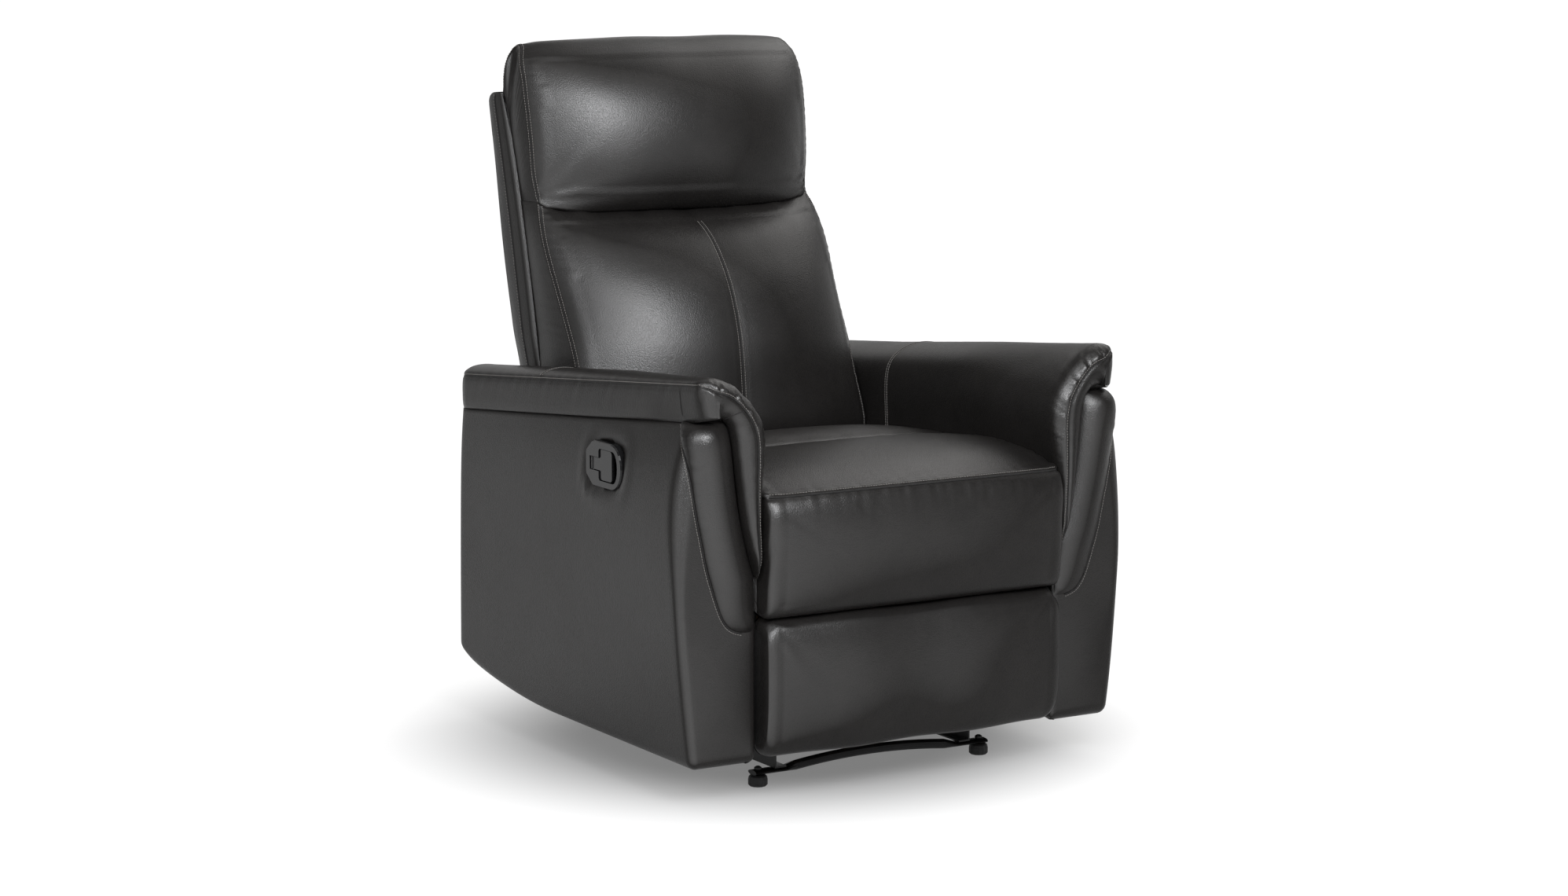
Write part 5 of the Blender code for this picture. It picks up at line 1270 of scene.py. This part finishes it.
def backs():
    grid, up = back_cushion("lumbar_blown", LUMBAR_ROWS, LUMBAR_LOW, LUMBAR_TOP, LUMBAR_TOP, 0.80)
    x, z = grid[..., 0], grid[..., 2]
    centre = -0.0022 * hump(x, 0.0032) - 0.0022 * hump(x, 0.030)
    gap, along = near_path(grid, grid[-1])
    folds = wobble(along, 51, 0.050) * fade(gap, 0.05) * 0.0010
    corners = gathered(grid, [((-0.256, 0.310, 0.846), 3, 0.045, 0.0018, 7),
                              ((0.256, 0.310, 0.846), 8, 0.045, 0.0016, 7)])
    edge = fade(BACK_HALF - np.abs(x), 0.014)
    pucker = wobble(z, 57, 0.013) * edge * 0.0006
    grid = grid + up * (centre * (z < 0.83) + folds + corners + pucker)[..., None]
    lumbar = seal_back("lumbar_cover", grid, "lumbar_cushion", LUMBAR_TOP)
    side_seams("lumbar", lumbar, grid)
    middle = grid[:, grid.shape[1] // 2][4:-6].copy()
    middle[:, 0] = 0
    stitched("lumbar_centre_seam", lumbar, middle, "back", (0.0036, -0.0036), 0.0042, 0.0010, 0.0)

    grid, up = back_cushion("head_blown", HEAD_ROWS, LUMBAR_TOP + GAP, HEAD_TOP, SHELL_TOP - 0.006, 1.062)
    x, z = grid[..., 0], grid[..., 2]
    corners = gathered(grid, [((-0.256, 0.308, 0.850), 13, 0.060, 0.0022, 6),
                              ((0.256, 0.308, 0.850), 18, 0.050, 0.0018, 6),
                              ((-0.250, 0.365, 1.088), 23, 0.030, 0.0012, 6)])
    edge = fade(BACK_HALF - np.abs(x), 0.014)
    pucker = wobble(z, 67, 0.012) * edge * 0.0005
    broad = wobble(x + 0.4 * z, 71, 0.21) * 0.0014 * (1 - edge)
    grid = grid + up * (corners + pucker + broad)[..., None]
    head = seal_back("headrest_cover", grid, "headrest_cushion", SHELL_TOP - 0.006)
    side_seams("headrest", head, grid)


def radial_folds(grid, spot, seed, reach, depth, count):
    """Small folds that run out from a point where the leather is drawn in."""
    rel = grid - np.array(spot)
    gap = np.linalg.norm(rel, axis=-1)
    turn = np.arctan2(rel[..., 2], np.abs(rel[..., 0]) + 1e-6)
    r = np.random.RandomState(seed)
    phase = r.uniform(0, 2 * pi)
    waves = np.sin(turn * count * 2 + phase) * 0.7 + np.sin(turn * count * 3.3 + phase * 2) * 0.3
    return waves * depth * fade(gap, reach) * ease(gap / 0.010)


def shell():
    """The padded outside back."""
    zs = np.concatenate([SHELL_LOW + 0.012 * (1 - np.cos(np.linspace(0, pi / 2, 6))),
                         np.linspace(SHELL_LOW + 0.022, SHELL_TOP - 0.022, 96),
                         SHELL_TOP - 0.016 * (1 - np.sin(np.linspace(0, pi / 2, 8)))])
    rows = []
    for z in zs:
        rim = float(rear_line(np.array(z))) + GAP
        above = float(ease((z - 0.56) / 0.08))
        half = BACK_HALF + 0.0035 * above
        rear = float(back_plane(z)) + SHELL_THICK + 0.004 * above
        end = min(float(end_set(z - SHELL_LOW, 0.020)), 0.019) + min(float(end_set(SHELL_TOP - z, 0.020)), 0.019)
        thick = rear - rim
        r = 0.011
        side = [(half - 0.0015, rim), (half + 0.0005, rim + thick * 0.18), (half + 0.0022, rim + thick * 0.45),
                (half + 0.0018, rim + thick * 0.68)]
        corner = [(half + 0.0012 - r + r * cos(a), rear - r + r * sin(a)) for a in np.linspace(0.25, pi / 2, 6)]
        span = [(x, rear + SHELL_CROWN * (1 - (x / half) ** 2) ** 0.8) for x in np.linspace(half - r - 0.012, 0, 26)]
        outline = np.array(side + corner + span)
        outline[:, 1] = rim + (outline[:, 1] - rim) * (1 - end / 0.034) if end > 0 else outline[:, 1]
        full = np.concatenate([outline, np.stack([-outline[::-1][1:, 0], outline[::-1][1:, 1]], 1)])
        rows.append(np.stack([full[:, 0], full[:, 1], np.full(len(full), z)], 1))
    grid = np.array(rows)
    up = outward(grid, 1, 1)
    x, z = grid[..., 0], grid[..., 2]
    rear_face = grid[..., 1] > rear_line(z) + 0.06
    low_seam = -0.0028 * hump(z - 0.300, 0.004)
    sag = wobble(x + 0.2 * z, 81, 0.26) * 0.0012 + wobble(z - 0.3 * x, 83, 0.33) * 0.0013
    grid = grid + up * ((low_seam + sag) * rear_face)[..., None]
    lid = np.stack([grid[:, 0], grid[:, -1]], 1)
    piece = skin("outside_back_cover", [grid, lid, np.stack([grid[0], grid[0][::-1]], 0)])
    place(piece, HIDE, "back")
    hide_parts("back_shell")
    for name, column in (("left", grid.shape[1] - 3), ("right", 2)):
        line = smooth_path(grid[3:-3, column], 3)
        stitched(f"outside_back_seam_{name}", piece, line, "back", (0.0028,), 0.0050, 0.0009, 0.0002, 0.5)
    low = smooth_path(grid[int(np.argmin(np.abs(zs - 0.300))), 8:-8], 2)
    stitched("outside_back_hem", piece, low, "back", (0.0036,))


def footrest():
    xs = across_places(FOOTREST_HALF, COLUMN_STEP, 0.020)
    full = fullness(xs / FOOTREST_HALF, 4.0, 0.6)
    rows = []
    for side_d, side_h, mid_d, mid_h in FOOTREST_ROWS:
        y = FOOTREST_FACE - FOOTREST_FULL * mix(side_d, mid_d, full)
        rows.append(np.stack([xs, y, mix(FOOTREST_LOW, FOOTREST_TOP, mix(side_h, mid_h, full))], 1))
    grid, _ = refine(np.array(rows), 0, ROW_STEP)
    inset = end_set(FOOTREST_HALF - np.abs(xs), 0.020)
    middle = (FOOTREST_LOW + FOOTREST_TOP) / 2
    height = grid[..., 2] - middle
    grid[..., 2] -= np.sign(height) * inset[None] * np.clip(np.abs(height) / 0.10, 0, 1) ** 3

    def closed(name, grid):
        back = grid.copy()
        back[..., 1] = FOOTREST_FACE
        ends = [np.stack([grid[:, k], back[:, k]], 0) for k in (0, -1)]
        floors = [np.stack([grid[k], back[k]], 0) for k in (0, -1)]
        return skin(name, [grid, back] + ends + floors)

    def held(points):
        side = ease((np.abs(points[:, 0]) - (FOOTREST_HALF - 0.030)) / 0.020)
        rear = points[:, 1] > FOOTREST_FACE - 0.018
        ends = ease((points[:, 2] - FOOTREST_TOP + 0.030) / 0.020) + 1 - ease((points[:, 2] - FOOTREST_LOW) / 0.020)
        return np.clip(np.maximum.reduce([side, rear, ends]), 0, 1)

    grid = blown("footrest_blown", grid, closed, held, 0.004)
    up = outward(grid, 1, -1)
    corners = gathered(grid, [((-0.258, -0.420, 0.284), 91, 0.040, 0.0020, 6),
                              ((0.258, -0.420, 0.284), 97, 0.030, 0.0015, 6)])
    grid = grid + up * (corners + wobble(grid[..., 0], 101, 0.24) * 0.0012)[..., None]
    piece = closed("footrest_cover", grid)
    place(piece, HIDE, "footrest")
    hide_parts("footrest_pad")


# ---------------------------------------------------------------- rigid parts
def dress_nodes():
    for entry in frame["record"]["subparts"]:
        node = frame["nodes"].get(entry["node"])
        material = SLOT_MATERIALS.get(entry["material_slot"])
        if node is None or material is None:
            continue
        node.data.materials.clear()
        node.data.materials.append(material)


camera()
studio()
floor()
dress_nodes()
for hand, side in SIDES.items():
    arm(hand, side)
seat()
backs()
shell()
footrest()
